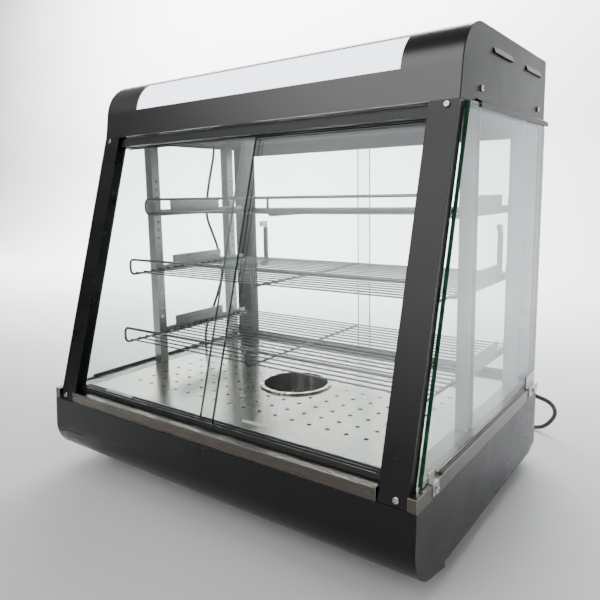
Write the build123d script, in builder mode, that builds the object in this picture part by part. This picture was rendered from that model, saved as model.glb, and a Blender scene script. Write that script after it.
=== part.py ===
from build123d import *
import os
from math import cos, hypot, radians, sin, sqrt, tan

# Hot food display case: a heated base on rubber feet, a glazed cabinet with a leaning
# sliding-door front and three wire shelves, and a curved canopy that holds the lamp.
# Frame: origin on the floor under the middle of the case, X to the right, Y to the rear,
# Z up. Lengths are millimetres. Setbacks are measured rearward from the deck's front edge,
# and rises upward from the deck's top face, unless a name says otherwise.

# ---------------------------------------------------------------- overall sizes
case_width = 660.0
case_depth = 491.0            # front of the fascia to the rear of the canopy
case_height = 654.4
base_height = 140.0           # floor to the deck's top face
canopy_height = 94.6
side_step = 11.4              # base side to post side
sheet = 1.2                   # painted and stainless sheet
fit_gap = 0.5                 # between pieces that sit in one another

# ---------------------------------------------------------------- base
foot_height = 28.7
foot_radius = 15.0
foot_top_radius = 13.0
foot_inset = 30.0             # foot axis from the side of the base
foot_front_setback = 100.0
foot_rear_gap = 46.1          # foot axis ahead of the rear panel's face
skirt_drop = 16.2
fascia_radius = 48.0
fascia_centre_rise = 48.8     # above the base's underside
fascia_lean = 3.0
fascia_toe_slope = 12.0
fascia_toe_setback = 80.0
fascia_proud = 2.9
fascia_ledge = 20.0
cheek_sheet = 1.5
cheek_rear_gap = 21.6         # ahead of the rear panel's face
cheek_chamfer_run = 30.0
cheek_chamfer_rise = 8.0
cheek_ear_length = 52.5
cheek_flange = 9.0
rear_panel_inset = 2.0
rear_return = 24.0
vent_slot_length = 46.0
vent_slot_width = 4.0
vent_slot_count = 6
vent_slot_columns = 4
vent_slot_pitch = 12.0

# ---------------------------------------------------------------- deck, liner, tray, cup
opening_side_margin = 39.5    # opening's side from the side of the base
opening_front_setback = 47.0
opening_rear_gap = 46.1
tray_sheet = 1.0
tray_lip = 9.0
tray_ledge = 5.5
hole_radius = 3.4
hole_pitch = 30.0
hole_side_margin = 45.0
hole_rear_margin = 30.0
hole_front_setback = 107.2
cup_setback = 241.6
cup_radius = 54.0
cup_rim_width = 6.7
cup_wall = 1.0
cup_depth = 48.0
cup_rim_height = 3.0
cup_clear_of_holes = 9.3      # rim to the nearest hole's centre
liner_depth = 74.0
liner_flange = 10.0
element_radius = 4.0
element_drop = 58.0
element_half_span = 130.0
element_bend = 42.0
element_front_setback = 95.0
element_tail = 16.0

# ---------------------------------------------------------------- controls on the rear panel
control_drop = 56.0
knob_x = -70.0
knob_radius = 19.0
knob_height = 16.0
knob_gap = 1.0
knob_skirt = 3.0
knob_grips = 12
knob_mark_start = 6.3         # from the knob's axis
knob_mark_width = 1.2
shaft_radius = 3.0
shaft_length = 12.0
running_gap = 0.05
thermostat_size = (44.0, 34.0, 40.0)
switch_x = (-205.0, -150.0)
switch_size = (13.0, 18.0, 27.0)
switch_bezel = (17.0, 2.0, 31.0)
rocker_size = (10.0, 8.0, 21.0)
rocker_end_gap = 1.5
rocker_proud = 3.4
rocker_pin_radius = 1.2
rocker_tilt = 8.0
gauge_x = 60.0
gauge_radius = 24.0
gauge_proud = 6.0
gauge_can_depth = 26.0
terminal_size = (60.0, 20.0, 18.0)
terminal_x = 190.0
terminal_poles = 5

# ---------------------------------------------------------------- posts, glass, tracks
lean_run = 124.4              # rearward run of the front over the next value
lean_rise = 435.8
post_foot_setback = 6.0       # front face of a front post where it meets the deck plane
post_width = 36.8
post_depth = 16.0
post_wall = 1.2
rear_post_depth = 26.0
rear_post_gap = 0.1           # ahead of the rear panel's face
glass_thickness = 4.0
side_glass_thickness = 5.0
side_glass_gap = 0.9
side_glass_behind = 18.5
side_glass_rear_gap = 12.1    # ahead of the rear panel's face
pad_height = 1.5
seat_setbacks = (57.0, 360.0)
seat_length = 14.0
track_depth = 11.5            # first rib, behind the front posts' face
track_ribs = 3
track_rib = 1.5
track_groove = 5.0
track_height = 6.0
track_floor = 1.5
door_overlap = 30.0
door_end_gap = 1.0
door_lift_gap = 0.3
front_rail_height = 13.5
front_rail_drop = 1.1         # top of the rail below the canopy, along the slope
front_rail_web = 3.0
front_rail_depth = 7.0
door_bite = 7.0
pull_spans = ((-219.0, -155.0), (64.0, 105.0))
pull_alongs = (13.0, 23.0)
pull_height = 3.0
pull_thickness = 1.6
rear_track_inset = 6.0        # behind the rear posts' front face
rear_groove = 5.5
rear_track_height = 8.0
rear_rail_height = 21.0
rear_door_bite = 9.0
handle_from_edge = 23.8       # handle's axis from the door's outer edge
handle_rise = 210.0
handle_length = 98.0
handle_width = 8.0
handle_reach = 6.9            # grip's rear face behind the rear panel's face
handle_grip_depth = 8.0
handle_end_height = 11.0
handle_corner = 2.6

# ---------------------------------------------------------------- pilasters, brackets, shelves
pilaster_inset = 38.0         # inner face from the side of the base
pilaster_width = 18.0
pilaster_depth = 18.0
pilaster_sheet = 1.0
pilaster_front_setback = 211.2
pilaster_rear_gap = 69.7      # ahead of the rear panel's face
pilaster_hole_radius = 3.0
pilaster_hole_pitch = 15.0
pilaster_top_margin = 70.0    # free of holes under the canopy
pilaster_first_hole = 75.0
bracket_sheet = 1.5
bracket_ledge = 10.5
bracket_low = 8.0
bracket_high = 25.0
bracket_lug = 19.0
bracket_lug_half = 7.5
bracket_raised_gaps = (31.8, 39.4)
bracket_overhangs = (7.2, 32.6)
hook_above_shelf = 14.5
hooks_from_top = 4            # unused holes above the top shelf's hook
shelf_front_setbacks = (177.0, 135.0, 115.0)
shelf_rear_gap = 22.0         # ahead of the rear track
shelf_side_gap = 8.5          # frame wire's centre from the pilasters' face
frame_wire_radius = 2.2
middle_wire_radius = 2.0
fine_wire_radius = 1.25
wire_pitch = 18.0
weld_sink = 0.5
guard_height = 27.0
guard_bend = 9.0

# ---------------------------------------------------------------- canopy and lamp
canopy_lean = 8.7
canopy_radius = 62.0
canopy_front_gap = 0.9        # behind the posts' face
canopy_inset = 10.8           # canopy side from the side of the base
hem_drop = 5.4
hem_front_gap = 49.3          # behind the canopy's front edge
hem_gap = 0.7
window_side_margin = 77.2
window_low_angle = 170.6
window_high_angle = 120.4
diffuser_thickness = 2.5
diffuser_overlap = 9.0
diffuser_lap_angle = 3.5
diffuser_gap = 0.3
louver_length = 78.0
louver_height = 8.0
louver_proud = 3.0
louver_drop = 24.4            # below the canopy's top
louver_rear_gaps = (215.6, 73.1)
end_screw_gaps = (65.8, 42.1)  # behind the canopy's front edge, ahead of its rear
end_screw_lift = 18.4         # above the canopy's lower edge
lamp_radius = 8.0
lamp_overrun = 8.0            # past the window at each end
lamp_from_centre = (-4.4, 5.6)
holder_size = (13.0, 24.0)
holder_above_lamp = 12.0
lamp_vent_gap = 33.3          # behind the canopy's front edge
lamp_vent_pitch = 90.0
lamp_vent_width = 6.0
lamp_vent_land = 7.2          # between two vents in the row
lamp_vent_count = 5

# ---------------------------------------------------------------- clips and screws
clip_sheet = 1.0
clip_gap = 0.2
clip_screw_drop = 8.0
front_clip = (40.0, 56.0)
rear_clip_reach = (8.0, 3.5)  # behind the ear's front, past the side's rear edge
clip_drop = 13.0
front_clip_rise = 12.0
rear_clip_rise = 20.0
seat_strip_height = 5.0
strip_gap = 16.0
screw_head_radius = 4.0
screw_head_height = 2.6
screw_shank_radius = 2.0
screw_shank_length = 6.0
screw_clearance = 0.15
screw_cross = (4.4, 1.0, 1.4)
post_screw_from_side = 14.0
post_screw_low = -9.0
post_screw_top_drop = 5.6     # below the post's top, along the slope

# ---------------------------------------------------------------- cables
cord_diameter = 7.5
gland_radius = 9.0
gland_flange_radius = 12.0
gland_flange = 3.0
gland_body_depth = 9.0        # inside the rear panel
gland_boot_radius = 5.2
coil_turn_diameter = 90.0
coil_x = 150.0
coil_behind = 123.9           # coil's axis behind the rear panel
coil_columns = 2
coil_layers = 3
plug_size = (29.0, 46.0, 23.0)
plug_behind = 81.9            # rear face of the plug's body, behind the rear panel
plug_neck_radius = 6.0
plug_blade = (16.5, 1.5, 6.3)
plug_blade_half_pitch = 6.35
plug_earth_radius = 2.4
plug_earth_drop = 6.5
plug_corner = 5.75
lead_radius = 2.6
lead_from_pilaster = 14.0     # lead's axis outboard of the pilasters' inner face
lead_hole_radius = 3.6
lead_top_setback = 384.0
lead_foot_setback = 338.0
lead_tail = 16.0              # past the ceiling and the deck
arc_share = 0.45              # of a cable's shorter run, taken up by the arc at its end

# ---------------------------------------------------------------- derived places
overall_depth = case_depth - rear_panel_inset + knob_gap + knob_height
front_y = -overall_depth / 2
deck_front_y = front_y + fascia_proud
deck_z = base_height
base_bottom_z = foot_height
half_width = case_width / 2
post_side = half_width - side_step
cabinet_height = case_height - base_height - canopy_height
canopy_rear_y = front_y + case_depth
rear_panel_y = canopy_rear_y - rear_panel_inset
rear_panel_setback = rear_panel_y - deck_front_y
cheek_rear_setback = rear_panel_setback - cheek_rear_gap
cheek_ear_setback = cheek_rear_setback - cheek_ear_length
control_z = deck_z - control_drop
canopy_low_z = deck_z + cabinet_height
canopy_side = half_width - canopy_inset
lean_cos = lean_rise / hypot(lean_run, lean_rise)
lean_sin = lean_run / hypot(lean_run, lean_rise)
lean_tan = lean_run / lean_rise
opening_half_width = half_width - opening_side_margin
opening_rear_setback = rear_panel_setback - opening_rear_gap
cup_rim_radius = cup_radius + cup_rim_width
rear_post_setback = rear_panel_setback - rear_post_gap - rear_post_depth
rear_track_setback = rear_post_setback + rear_track_inset
side_glass_inner = post_side + side_glass_gap
side_glass_outer = side_glass_inner + side_glass_thickness
side_glass_rear_setback = rear_panel_setback - side_glass_rear_gap
hem_inner = side_glass_outer + hem_gap
rear_clip = (cheek_ear_setback + rear_clip_reach[0], cheek_rear_setback + rear_clip_reach[1])
post_screw_high = cabinet_height / lean_cos - post_screw_top_drop
front_rail_top = cabinet_height / lean_cos - front_rail_drop
front_rail_low = front_rail_top - front_rail_height
tray_top_z = deck_z - sheet + tray_sheet
liner_half_width = opening_half_width - tray_ledge
pilaster_face = half_width - pilaster_inset
pilaster_setbacks = (pilaster_front_setback, rear_panel_setback - pilaster_rear_gap)
pilaster_hole_count = 1 + int(
    (cabinet_height - pilaster_first_hole - pilaster_top_margin) / pilaster_hole_pitch
)
top_hook = pilaster_hole_count - hooks_from_top
hook_holes = (top_hook, (top_hook + 1) // 2, 0)
shelf_half_width = pilaster_face - shelf_side_gap
shelf_rear_setback = rear_track_setback - shelf_rear_gap
canopy_front_setback = post_foot_setback + cabinet_height * lean_tan + canopy_front_gap
canopy_rear_setback = canopy_rear_y - deck_front_y
hem_front_setback = canopy_front_setback + hem_front_gap
window_half_width = canopy_side - window_side_margin
louver_z = case_height - louver_drop
louver_setbacks = [canopy_rear_setback - gap for gap in louver_rear_gaps]
end_screw_setbacks = (canopy_front_setback + end_screw_gaps[0], canopy_rear_setback - end_screw_gaps[1])
end_screw_z = canopy_low_z + end_screw_lift
lamp_half_length = window_half_width + lamp_overrun
lead_inset = pilaster_face + lead_from_pilaster
canopy_arc_z = case_height - canopy_radius
canopy_arc_y = deck_front_y + canopy_front_setback + (
    canopy_radius + sin(radians(canopy_lean)) * (canopy_arc_z - canopy_low_z)
) / cos(radians(canopy_lean))

# The lead: setback and share of the cabinet's height of each free point of its route.
lead_points = (
    (lead_top_setback, 0.962),
    (362.0, 0.786),
    (352.0, 0.660),
    (384.0, 0.505),
    (399.0, 0.357),
    (372.0, 0.219),
    (lead_foot_setback, 0.095),
)
# The cord: X, distance behind the rear panel and rise of each point of its route.
cord_points = (
    (300.0, 23.9, -36.0),
    (300.0, 41.9, -40.0),
    (307.0, 63.4, -52.0),
    (333.5, 82.9, -66.5),
    (338.0, 104.4, -97.5),
    (307.5, 118.4, -136.25),
    (260.0, 138.9, -136.25),
    (214.0, 163.9, -136.25),
    (178.0, 172.65, -136.25),
)


def back(setback):
    """Y of a point that lies this far behind the deck's front edge."""
    return deck_front_y + setback


def up(rise):
    """Z of a point that lies this far above the deck."""
    return deck_z + rise


def leaned(along, depth):
    """(Y, Z) of a point on the leaning front: along the slope, and behind the posts' face."""
    y = back(post_foot_setback) + along * lean_sin + depth * lean_cos
    z = deck_z + along * lean_cos - depth * lean_sin
    return (y, z)


def leaned_at(z, depth):
    """(Y, Z) on the leaning plane that lies this depth behind the posts' face."""
    return (back(post_foot_setback) + (z - deck_z) * lean_tan + depth / lean_cos, z)


def block(low, high, mode=Mode.ADD):
    """A box between two opposite corners."""
    size = [b - a for a, b in zip(low, high)]
    middle = [(a + b) / 2 for a, b in zip(low, high)]
    with Locations(tuple(middle)):
        Box(*size, mode=mode)


def prism_x(outline, x0, x1, mode=Mode.ADD):
    """A prism along X from an outline of (Y, Z) points."""
    with BuildSketch(Plane.YZ.offset(x0)) as section:
        with BuildLine():
            Polyline(*outline, close=True)
        make_face()
    extrude(section.sketch, amount=x1 - x0, mode=mode)


def prism_y(outline, y0, y1, mode=Mode.ADD):
    """A prism along Y from an outline of (X, Z) points."""
    with BuildSketch(Plane.XZ.offset(-y0)) as section:
        with BuildLine():
            Polyline(*outline, close=True)
        make_face()
    extrude(section.sketch, amount=-(y1 - y0), mode=mode)


def rod(start, end, radius, mode=Mode.ADD):
    """A round bar between two points."""
    axis = Vector(*end) - Vector(*start)
    with BuildSketch(Plane(origin=start, z_dir=axis)) as section:
        Circle(radius)
    extrude(section.sketch, amount=axis.length, mode=mode)


def clip_screw_hole(side, span, wall):
    """Clearance hole through a wall of the base for the screw of a glass clip."""
    rod(
        (side * (half_width - wall), back(sum(span) / 2), deck_z - clip_screw_drop),
        (side * half_width, back(sum(span) / 2), deck_z - clip_screw_drop),
        screw_shank_radius + screw_clearance,
        mode=Mode.SUBTRACT,
    )


def save(node, name):
    """Label one finished sub-part and write its file."""
    node.part.label = name
    export_step(node.part, f"parts/{name}.step")


os.makedirs("parts", exist_ok=True)

# ================================================================ base
fascia_centre = (front_y + fascia_radius, base_bottom_z + fascia_centre_rise)
fascia_start = 180.0 - fascia_lean
fascia_end = 270.0 - fascia_toe_slope
fascia_top_z = deck_z - skirt_drop


def on_fascia(angle, inset=0.0):
    """(Y, Z) on the fascia's arc, or inset towards its centre."""
    r = fascia_radius - inset
    return (fascia_centre[0] + r * cos(radians(angle)), fascia_centre[1] + r * sin(radians(angle)))


def fascia_top(inset=0.0):
    """(Y, Z) where the fascia's face meets its upper edge."""
    y, z = on_fascia(fascia_start, inset)
    return (y + (fascia_top_z - z) * tan(radians(fascia_lean)), fascia_top_z)


def fascia_toe(inset=0.0):
    """(Y, Z) at the rear end of the fascia's underside."""
    y, z = on_fascia(fascia_end, inset)
    return (back(fascia_toe_setback), z - (back(fascia_toe_setback) - y) * tan(radians(fascia_toe_slope)))


with BuildPart() as base_front_fascia:
    with BuildSketch(Plane.YZ.offset(-half_width + cheek_sheet)):
        with BuildLine():
            Line(fascia_top(), on_fascia(fascia_start))
            CenterArc(fascia_centre, fascia_radius, fascia_start, fascia_end - fascia_start)
            Line(on_fascia(fascia_end), fascia_toe())
            Line(fascia_toe(), fascia_toe(sheet))
            Line(fascia_toe(sheet), on_fascia(fascia_end, sheet))
            CenterArc(fascia_centre, fascia_radius - sheet, fascia_end, fascia_start - fascia_end)
            Line(on_fascia(fascia_start, sheet), fascia_top(sheet))
            Line(fascia_top(sheet), fascia_top())
        make_face()
    extrude(amount=case_width - 2 * cheek_sheet)
    block(
        (-half_width + cheek_sheet, fascia_top()[0], fascia_top_z - sheet),
        (half_width - cheek_sheet, back(fascia_ledge), fascia_top_z),
    )
    block(
        (-half_width + cheek_sheet, back(fascia_toe_setback) - sheet, fascia_toe()[1]),
        (half_width - cheek_sheet, back(fascia_toe_setback), base_bottom_z),
    )
save(base_front_fascia, "base_front_fascia")


def side_cheek(side):
    """Painted side of the base, following the fascia's outline, with turned-in flanges."""
    outer = side * half_width
    inner = side * (half_width - cheek_sheet)
    flange = side * (half_width - cheek_sheet - cheek_flange)
    rear_y = back(cheek_rear_setback)
    low = base_bottom_z
    with BuildPart() as cheek:
        with BuildSketch(Plane.YZ.offset(inner)):
            with BuildLine():
                Line(fascia_top(), on_fascia(fascia_start))
                CenterArc(fascia_centre, fascia_radius, fascia_start, fascia_end - fascia_start)
                Polyline(
                    on_fascia(fascia_end),
                    fascia_toe(),
                    (back(fascia_toe_setback), low),
                    (rear_y - cheek_chamfer_run, low),
                    (rear_y, low + cheek_chamfer_rise),
                    (rear_y, deck_z),
                    (back(cheek_ear_setback), deck_z),
                    (back(cheek_ear_setback), fascia_top_z),
                    fascia_top(),
                )
            make_face()
        extrude(amount=outer - inner)
        x_low, x_high = sorted((inner, flange))
        block(
            (x_low, back(fascia_toe_setback) + 2 * sheet, low),
            (x_high, rear_y - cheek_chamfer_run, low + cheek_sheet),
        )
        block(
            (x_low, rear_y - cheek_sheet, low + cheek_chamfer_rise + sheet),
            (x_high, rear_y, deck_z - 2 * sheet),
        )
        clip_screw_hole(side, rear_clip, cheek_sheet)
    return cheek


save(side_cheek(-1), "base_side_left")
save(side_cheek(1), "base_side_right")

with BuildPart() as base_bottom_plate:
    block(
        (-post_side + 2 * sheet, back(fascia_toe_setback), base_bottom_z),
        (post_side - 2 * sheet, rear_panel_y - sheet, base_bottom_z + sheet),
    )
    with BuildSketch(Plane.XY.offset(base_bottom_z)):
        with Locations((0, (back(fascia_toe_setback) + rear_panel_y) / 2)):
            with GridLocations(2 * vent_slot_length, 2 * vent_slot_pitch, vent_slot_columns, vent_slot_count):
                SlotOverall(vent_slot_length, vent_slot_width)
    extrude(amount=sheet, mode=Mode.SUBTRACT)
save(base_bottom_plate, "base_bottom_plate")

with BuildPart() as base_rear_panel:
    block(
        (-post_side, rear_panel_y - sheet, base_bottom_z),
        (post_side, rear_panel_y, deck_z - sheet),
    )
    for side in (-1, 1):
        x_low, x_high = sorted((side * post_side, side * (post_side - sheet)))
        block(
            (x_low, rear_panel_y - rear_return, base_bottom_z),
            (x_high, rear_panel_y - sheet, deck_z - sheet),
        )
    with BuildSketch(Plane.XZ.offset(-rear_panel_y)):
        for x in switch_x:
            with Locations((x, control_z)):
                Rectangle(switch_size[0] + fit_gap, switch_size[2] + fit_gap)
        with Locations((knob_x, control_z)):
            Circle(shaft_radius + fit_gap)
        with Locations((gauge_x, control_z)):
            Circle(gauge_radius - 2 * sheet)
        with Locations((cord_points[0][0], up(cord_points[0][2]))):
            Circle(gland_radius + fit_gap)
        with Locations((terminal_x, control_z)):
            with GridLocations(vent_slot_pitch, 1, vent_slot_count, 1):
                SlotOverall(vent_slot_length, vent_slot_width, rotation=90)
    extrude(amount=sheet, mode=Mode.SUBTRACT)
save(base_rear_panel, "base_rear_panel")

with BuildPart() as rubber_feet:
    for x in (-half_width + foot_inset, half_width - foot_inset):
        for setback in (foot_front_setback, rear_panel_setback - foot_rear_gap):
            with BuildSketch(Plane.XY) as foot_base:
                with Locations((x, back(setback))):
                    Circle(foot_top_radius)
            with BuildSketch(Plane.XY.offset(foot_height)) as foot_head:
                with Locations((x, back(setback))):
                    Circle(foot_radius)
            loft([foot_base.sketch.face(), foot_head.sketch.face()])
save(rubber_feet, "rubber_feet")

# ================================================================ deck, liner, tray, cup
notch_inner = post_side - post_width - fit_gap
notch_outer = post_side + fit_gap
notch_rear_y = leaned_at(deck_z, post_depth)[0] + fit_gap

with BuildPart() as top_deck:
    block((-half_width, back(0), deck_z - sheet), (half_width, back(cheek_ear_setback), deck_z))
    block((-post_side, back(cheek_ear_setback), deck_z - sheet), (post_side, rear_panel_y, deck_z))
    block((-half_width, back(0), deck_z - skirt_drop), (half_width, back(sheet), deck_z - sheet))
    for side in (-1, 1):
        x_low, x_high = sorted((side * half_width, side * (half_width - sheet)))
        block(
            (x_low, back(0), deck_z - skirt_drop),
            (x_high, back(cheek_ear_setback), deck_z - sheet),
        )
    block(
        (-opening_half_width, back(opening_front_setback), deck_z - sheet),
        (opening_half_width, back(opening_rear_setback), deck_z),
        mode=Mode.SUBTRACT,
    )
    for side in (-1, 1):
        x_low, x_high = sorted((side * notch_inner, side * notch_outer))
        block(
            (x_low, back(0), deck_z - skirt_drop),
            (x_high, notch_rear_y, deck_z),
            mode=Mode.SUBTRACT,
        )
        clip_screw_hole(side, front_clip, sheet)
    rod(
        (-lead_inset, back(lead_foot_setback), deck_z - sheet),
        (-lead_inset, back(lead_foot_setback), deck_z),
        lead_hole_radius,
        mode=Mode.SUBTRACT,
    )
save(top_deck, "top_deck")

liner_top_z = deck_z - sheet
liner_front_y = back(opening_front_setback + tray_ledge)
liner_rear_y = back(opening_rear_setback - tray_ledge)

with BuildPart() as heat_liner:
    block(
        (-liner_half_width - sheet, liner_front_y - sheet, liner_top_z - liner_depth),
        (liner_half_width + sheet, liner_rear_y + sheet, liner_top_z),
    )
    block(
        (-liner_half_width - liner_flange, liner_front_y - liner_flange, liner_top_z - sheet),
        (liner_half_width + liner_flange, liner_rear_y + liner_flange, liner_top_z),
    )
    block(
        (-liner_half_width, liner_front_y, liner_top_z - liner_depth + sheet),
        (liner_half_width, liner_rear_y, liner_top_z),
        mode=Mode.SUBTRACT,
    )
    for x in (-element_half_span, element_half_span):
        rod(
            (x, liner_rear_y - sheet, deck_z - element_drop),
            (x, liner_rear_y + 2 * sheet, deck_z - element_drop),
            element_radius,
            mode=Mode.SUBTRACT,
        )
save(heat_liner, "heat_liner")

hole_columns = 1 + 2 * int((opening_half_width - hole_side_margin) / hole_pitch)
hole_rows = 1 + int((opening_rear_setback - hole_rear_margin - hole_front_setback) / hole_pitch)

with BuildPart() as perforated_tray:
    tray_half = opening_half_width - fit_gap
    tray_front_y = back(opening_front_setback) + fit_gap
    tray_rear_y = back(opening_rear_setback) - fit_gap
    lip_half = liner_half_width - fit_gap
    lip_front_y = liner_front_y + fit_gap
    lip_rear_y = liner_rear_y - fit_gap
    block((-tray_half, tray_front_y, liner_top_z), (tray_half, tray_rear_y, tray_top_z))
    block((-lip_half, lip_front_y, liner_top_z - tray_lip), (lip_half, lip_rear_y, liner_top_z))
    block(
        (-lip_half + tray_sheet, lip_front_y + tray_sheet, liner_top_z - tray_lip),
        (lip_half - tray_sheet, lip_rear_y - tray_sheet, liner_top_z),
        mode=Mode.SUBTRACT,
    )
    with BuildSketch(Plane.XY.offset(tray_top_z)):
        with Locations((0, back(cup_setback))):
            Circle(cup_radius + cup_wall + fit_gap)
        for row in range(hole_rows):
            for column in range(hole_columns):
                hole_x = (column - (hole_columns - 1) / 2) * hole_pitch
                hole_setback = hole_front_setback + row * hole_pitch
                if hypot(hole_x, hole_setback - cup_setback) > cup_rim_radius + cup_clear_of_holes:
                    with Locations((hole_x, back(hole_setback))):
                        Circle(hole_radius)
    extrude(amount=-tray_sheet, mode=Mode.SUBTRACT)
save(perforated_tray, "perforated_tray")

with BuildPart() as water_cup:
    cup_top = tray_top_z + cup_rim_height
    cup_low = tray_top_z - cup_depth
    with BuildSketch(Plane.XZ.offset(-back(cup_setback))):
        with BuildLine():
            Polyline(
                (0, cup_low),
                (cup_radius + cup_wall, cup_low),
                (cup_radius + cup_wall, tray_top_z),
                (cup_rim_radius, tray_top_z),
                (cup_rim_radius, cup_top - cup_wall),
                (cup_rim_radius - cup_wall, cup_top),
                (cup_radius, cup_top),
                (cup_radius, cup_low + cup_wall),
                (0, cup_low + cup_wall),
                close=True,
            )
        make_face()
    revolve(axis=Axis((0, back(cup_setback), 0), (0, 0, 1)))
save(water_cup, "water_cup")

with BuildPart() as heating_element:
    element_z = deck_z - element_drop
    element_rear_y = liner_rear_y + sheet + element_tail
    with BuildLine() as element_path:
        FilletPolyline(
            (-element_half_span, element_rear_y, element_z),
            (-element_half_span, back(element_front_setback), element_z),
            (element_half_span, back(element_front_setback), element_z),
            (element_half_span, element_rear_y, element_z),
            radius=element_bend,
        )
    with BuildSketch(Plane(origin=element_path.line @ 0, z_dir=element_path.line % 0)):
        Circle(element_radius)
    sweep(path=element_path.line)
save(heating_element, "heating_element")

# ================================================================ controls
with BuildPart() as thermostat_body:
    panel_inside_y = rear_panel_y - sheet
    half_x, half_z = thermostat_size[0] / 2, thermostat_size[2] / 2
    block(
        (knob_x - half_x, panel_inside_y - thermostat_size[1], control_z - half_z),
        (knob_x + half_x, panel_inside_y, control_z + half_z),
    )
    rod(
        (knob_x, panel_inside_y - sheet, control_z),
        (knob_x, rear_panel_y + knob_gap + shaft_length, control_z),
        shaft_radius,
    )
save(thermostat_body, "thermostat_body")

with BuildPart() as thermostat_knob:
    knob_y = rear_panel_y + knob_gap
    rod((knob_x, knob_y, control_z), (knob_x, knob_y + knob_skirt, control_z), knob_radius)
    rod(
        (knob_x, knob_y + knob_skirt, control_z),
        (knob_x, knob_y + knob_height, control_z),
        knob_radius - knob_skirt,
    )
    grip_ring = knob_radius - knob_skirt
    with BuildSketch(Plane.XZ.offset(-knob_y - knob_height)):
        with Locations((knob_x, control_z)):
            with PolarLocations(grip_ring + sheet / 2, knob_grips):
                Circle(2 * sheet)
    extrude(amount=knob_height - knob_skirt, mode=Mode.SUBTRACT)
    rod(
        (knob_x, knob_y, control_z),
        (knob_x, knob_y + shaft_length + fit_gap, control_z),
        shaft_radius + running_gap,
        mode=Mode.SUBTRACT,
    )
    block(
        (knob_x - knob_mark_width / 2, knob_y + knob_height - knob_mark_width, control_z + knob_mark_start),
        (knob_x + knob_mark_width / 2, knob_y + knob_height, control_z + knob_radius),
        mode=Mode.SUBTRACT,
    )
save(thermostat_knob, "thermostat_knob")


def switch_body(x):
    """Snap-in housing of a rocker switch: bezel outside the panel, body inside."""
    with BuildPart() as housing:
        block(
            (x - switch_size[0] / 2, rear_panel_y - switch_size[1], control_z - switch_size[2] / 2),
            (x + switch_size[0] / 2, rear_panel_y, control_z + switch_size[2] / 2),
        )
        block(
            (x - switch_bezel[0] / 2, rear_panel_y, control_z - switch_bezel[2] / 2),
            (x + switch_bezel[0] / 2, rear_panel_y + switch_bezel[1], control_z + switch_bezel[2] / 2),
        )
        well_half_x = rocker_size[0] / 2 + fit_gap
        well_half_z = rocker_size[2] / 2 + rocker_end_gap
        block(
            (x - well_half_x, rear_panel_y - rocker_size[1], control_z - well_half_z),
            (x + well_half_x, rear_panel_y + switch_bezel[1], control_z + well_half_z),
            mode=Mode.SUBTRACT,
        )
        rod(
            (x - well_half_x, rear_panel_y, control_z),
            (x + well_half_x, rear_panel_y, control_z),
            rocker_pin_radius,
        )
    return housing


def switch_rocker(x):
    """Rocker on the housing's pin, at rest with its lower half pressed in."""
    half_z = rocker_size[2] / 2
    face = rocker_proud
    offsets = (
        (-rocker_size[1] / 2, -half_z / 2),
        (fit_gap, -half_z),
        (face, -half_z),
        (face - sheet, 0),
        (face, half_z),
        (fit_gap, half_z),
        (-rocker_size[1] / 2, half_z / 2),
    )
    lean = radians(rocker_tilt)
    outline = [
        (rear_panel_y + y * cos(lean) + z * sin(lean), control_z - y * sin(lean) + z * cos(lean))
        for y, z in offsets
    ]
    with BuildPart() as rocker:
        prism_x(outline, x - rocker_size[0] / 2, x + rocker_size[0] / 2)
        rod(
            (x - rocker_size[0] / 2, rear_panel_y, control_z),
            (x + rocker_size[0] / 2, rear_panel_y, control_z),
            rocker_pin_radius + running_gap,
            mode=Mode.SUBTRACT,
        )
    return rocker


for x, name in zip(switch_x, ("power", "light")):
    save(switch_body(x), f"{name}_switch_body")
    save(switch_rocker(x), f"{name}_switch_rocker")

with BuildPart() as temperature_gauge:
    rod(
        (gauge_x, rear_panel_y - gauge_can_depth, control_z),
        (gauge_x, rear_panel_y, control_z),
        gauge_radius - 2 * sheet - fit_gap,
    )
    rod((gauge_x, rear_panel_y, control_z), (gauge_x, rear_panel_y + gauge_proud, control_z), gauge_radius)
    rod(
        (gauge_x, rear_panel_y + gauge_proud - 2 * sheet, control_z),
        (gauge_x, rear_panel_y + gauge_proud, control_z),
        gauge_radius - 2 * sheet,
        mode=Mode.SUBTRACT,
    )
save(temperature_gauge, "temperature_gauge")

with BuildPart() as terminal_block:
    terminal_z = base_bottom_z + sheet
    terminal_y = rear_panel_y - rear_return
    block(
        (terminal_x - terminal_size[0] / 2, terminal_y - terminal_size[1] / 2, terminal_z),
        (terminal_x + terminal_size[0] / 2, terminal_y + terminal_size[1] / 2, terminal_z + terminal_size[2]),
    )
    with BuildSketch(Plane.XY.offset(terminal_z + terminal_size[2])):
        with Locations((terminal_x, terminal_y)):
            with GridLocations(terminal_size[0] / terminal_poles, terminal_size[1] / 2, terminal_poles, 2):
                Circle(screw_shank_radius)
    extrude(amount=-terminal_size[2] / 2, mode=Mode.SUBTRACT)
save(terminal_block, "terminal_block")

# ================================================================ posts
post_low_z = deck_z - skirt_drop
post_high_z = canopy_low_z


def post_hole_plane(side, along):
    """Plane on a front post's face, its normal pointing out to the front."""
    y, z = leaned(along, 0)
    return Plane(
        origin=(side * (post_side - post_screw_from_side), y, z),
        x_dir=(1, 0, 0),
        z_dir=(0, -lean_cos, lean_sin),
    )


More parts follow.
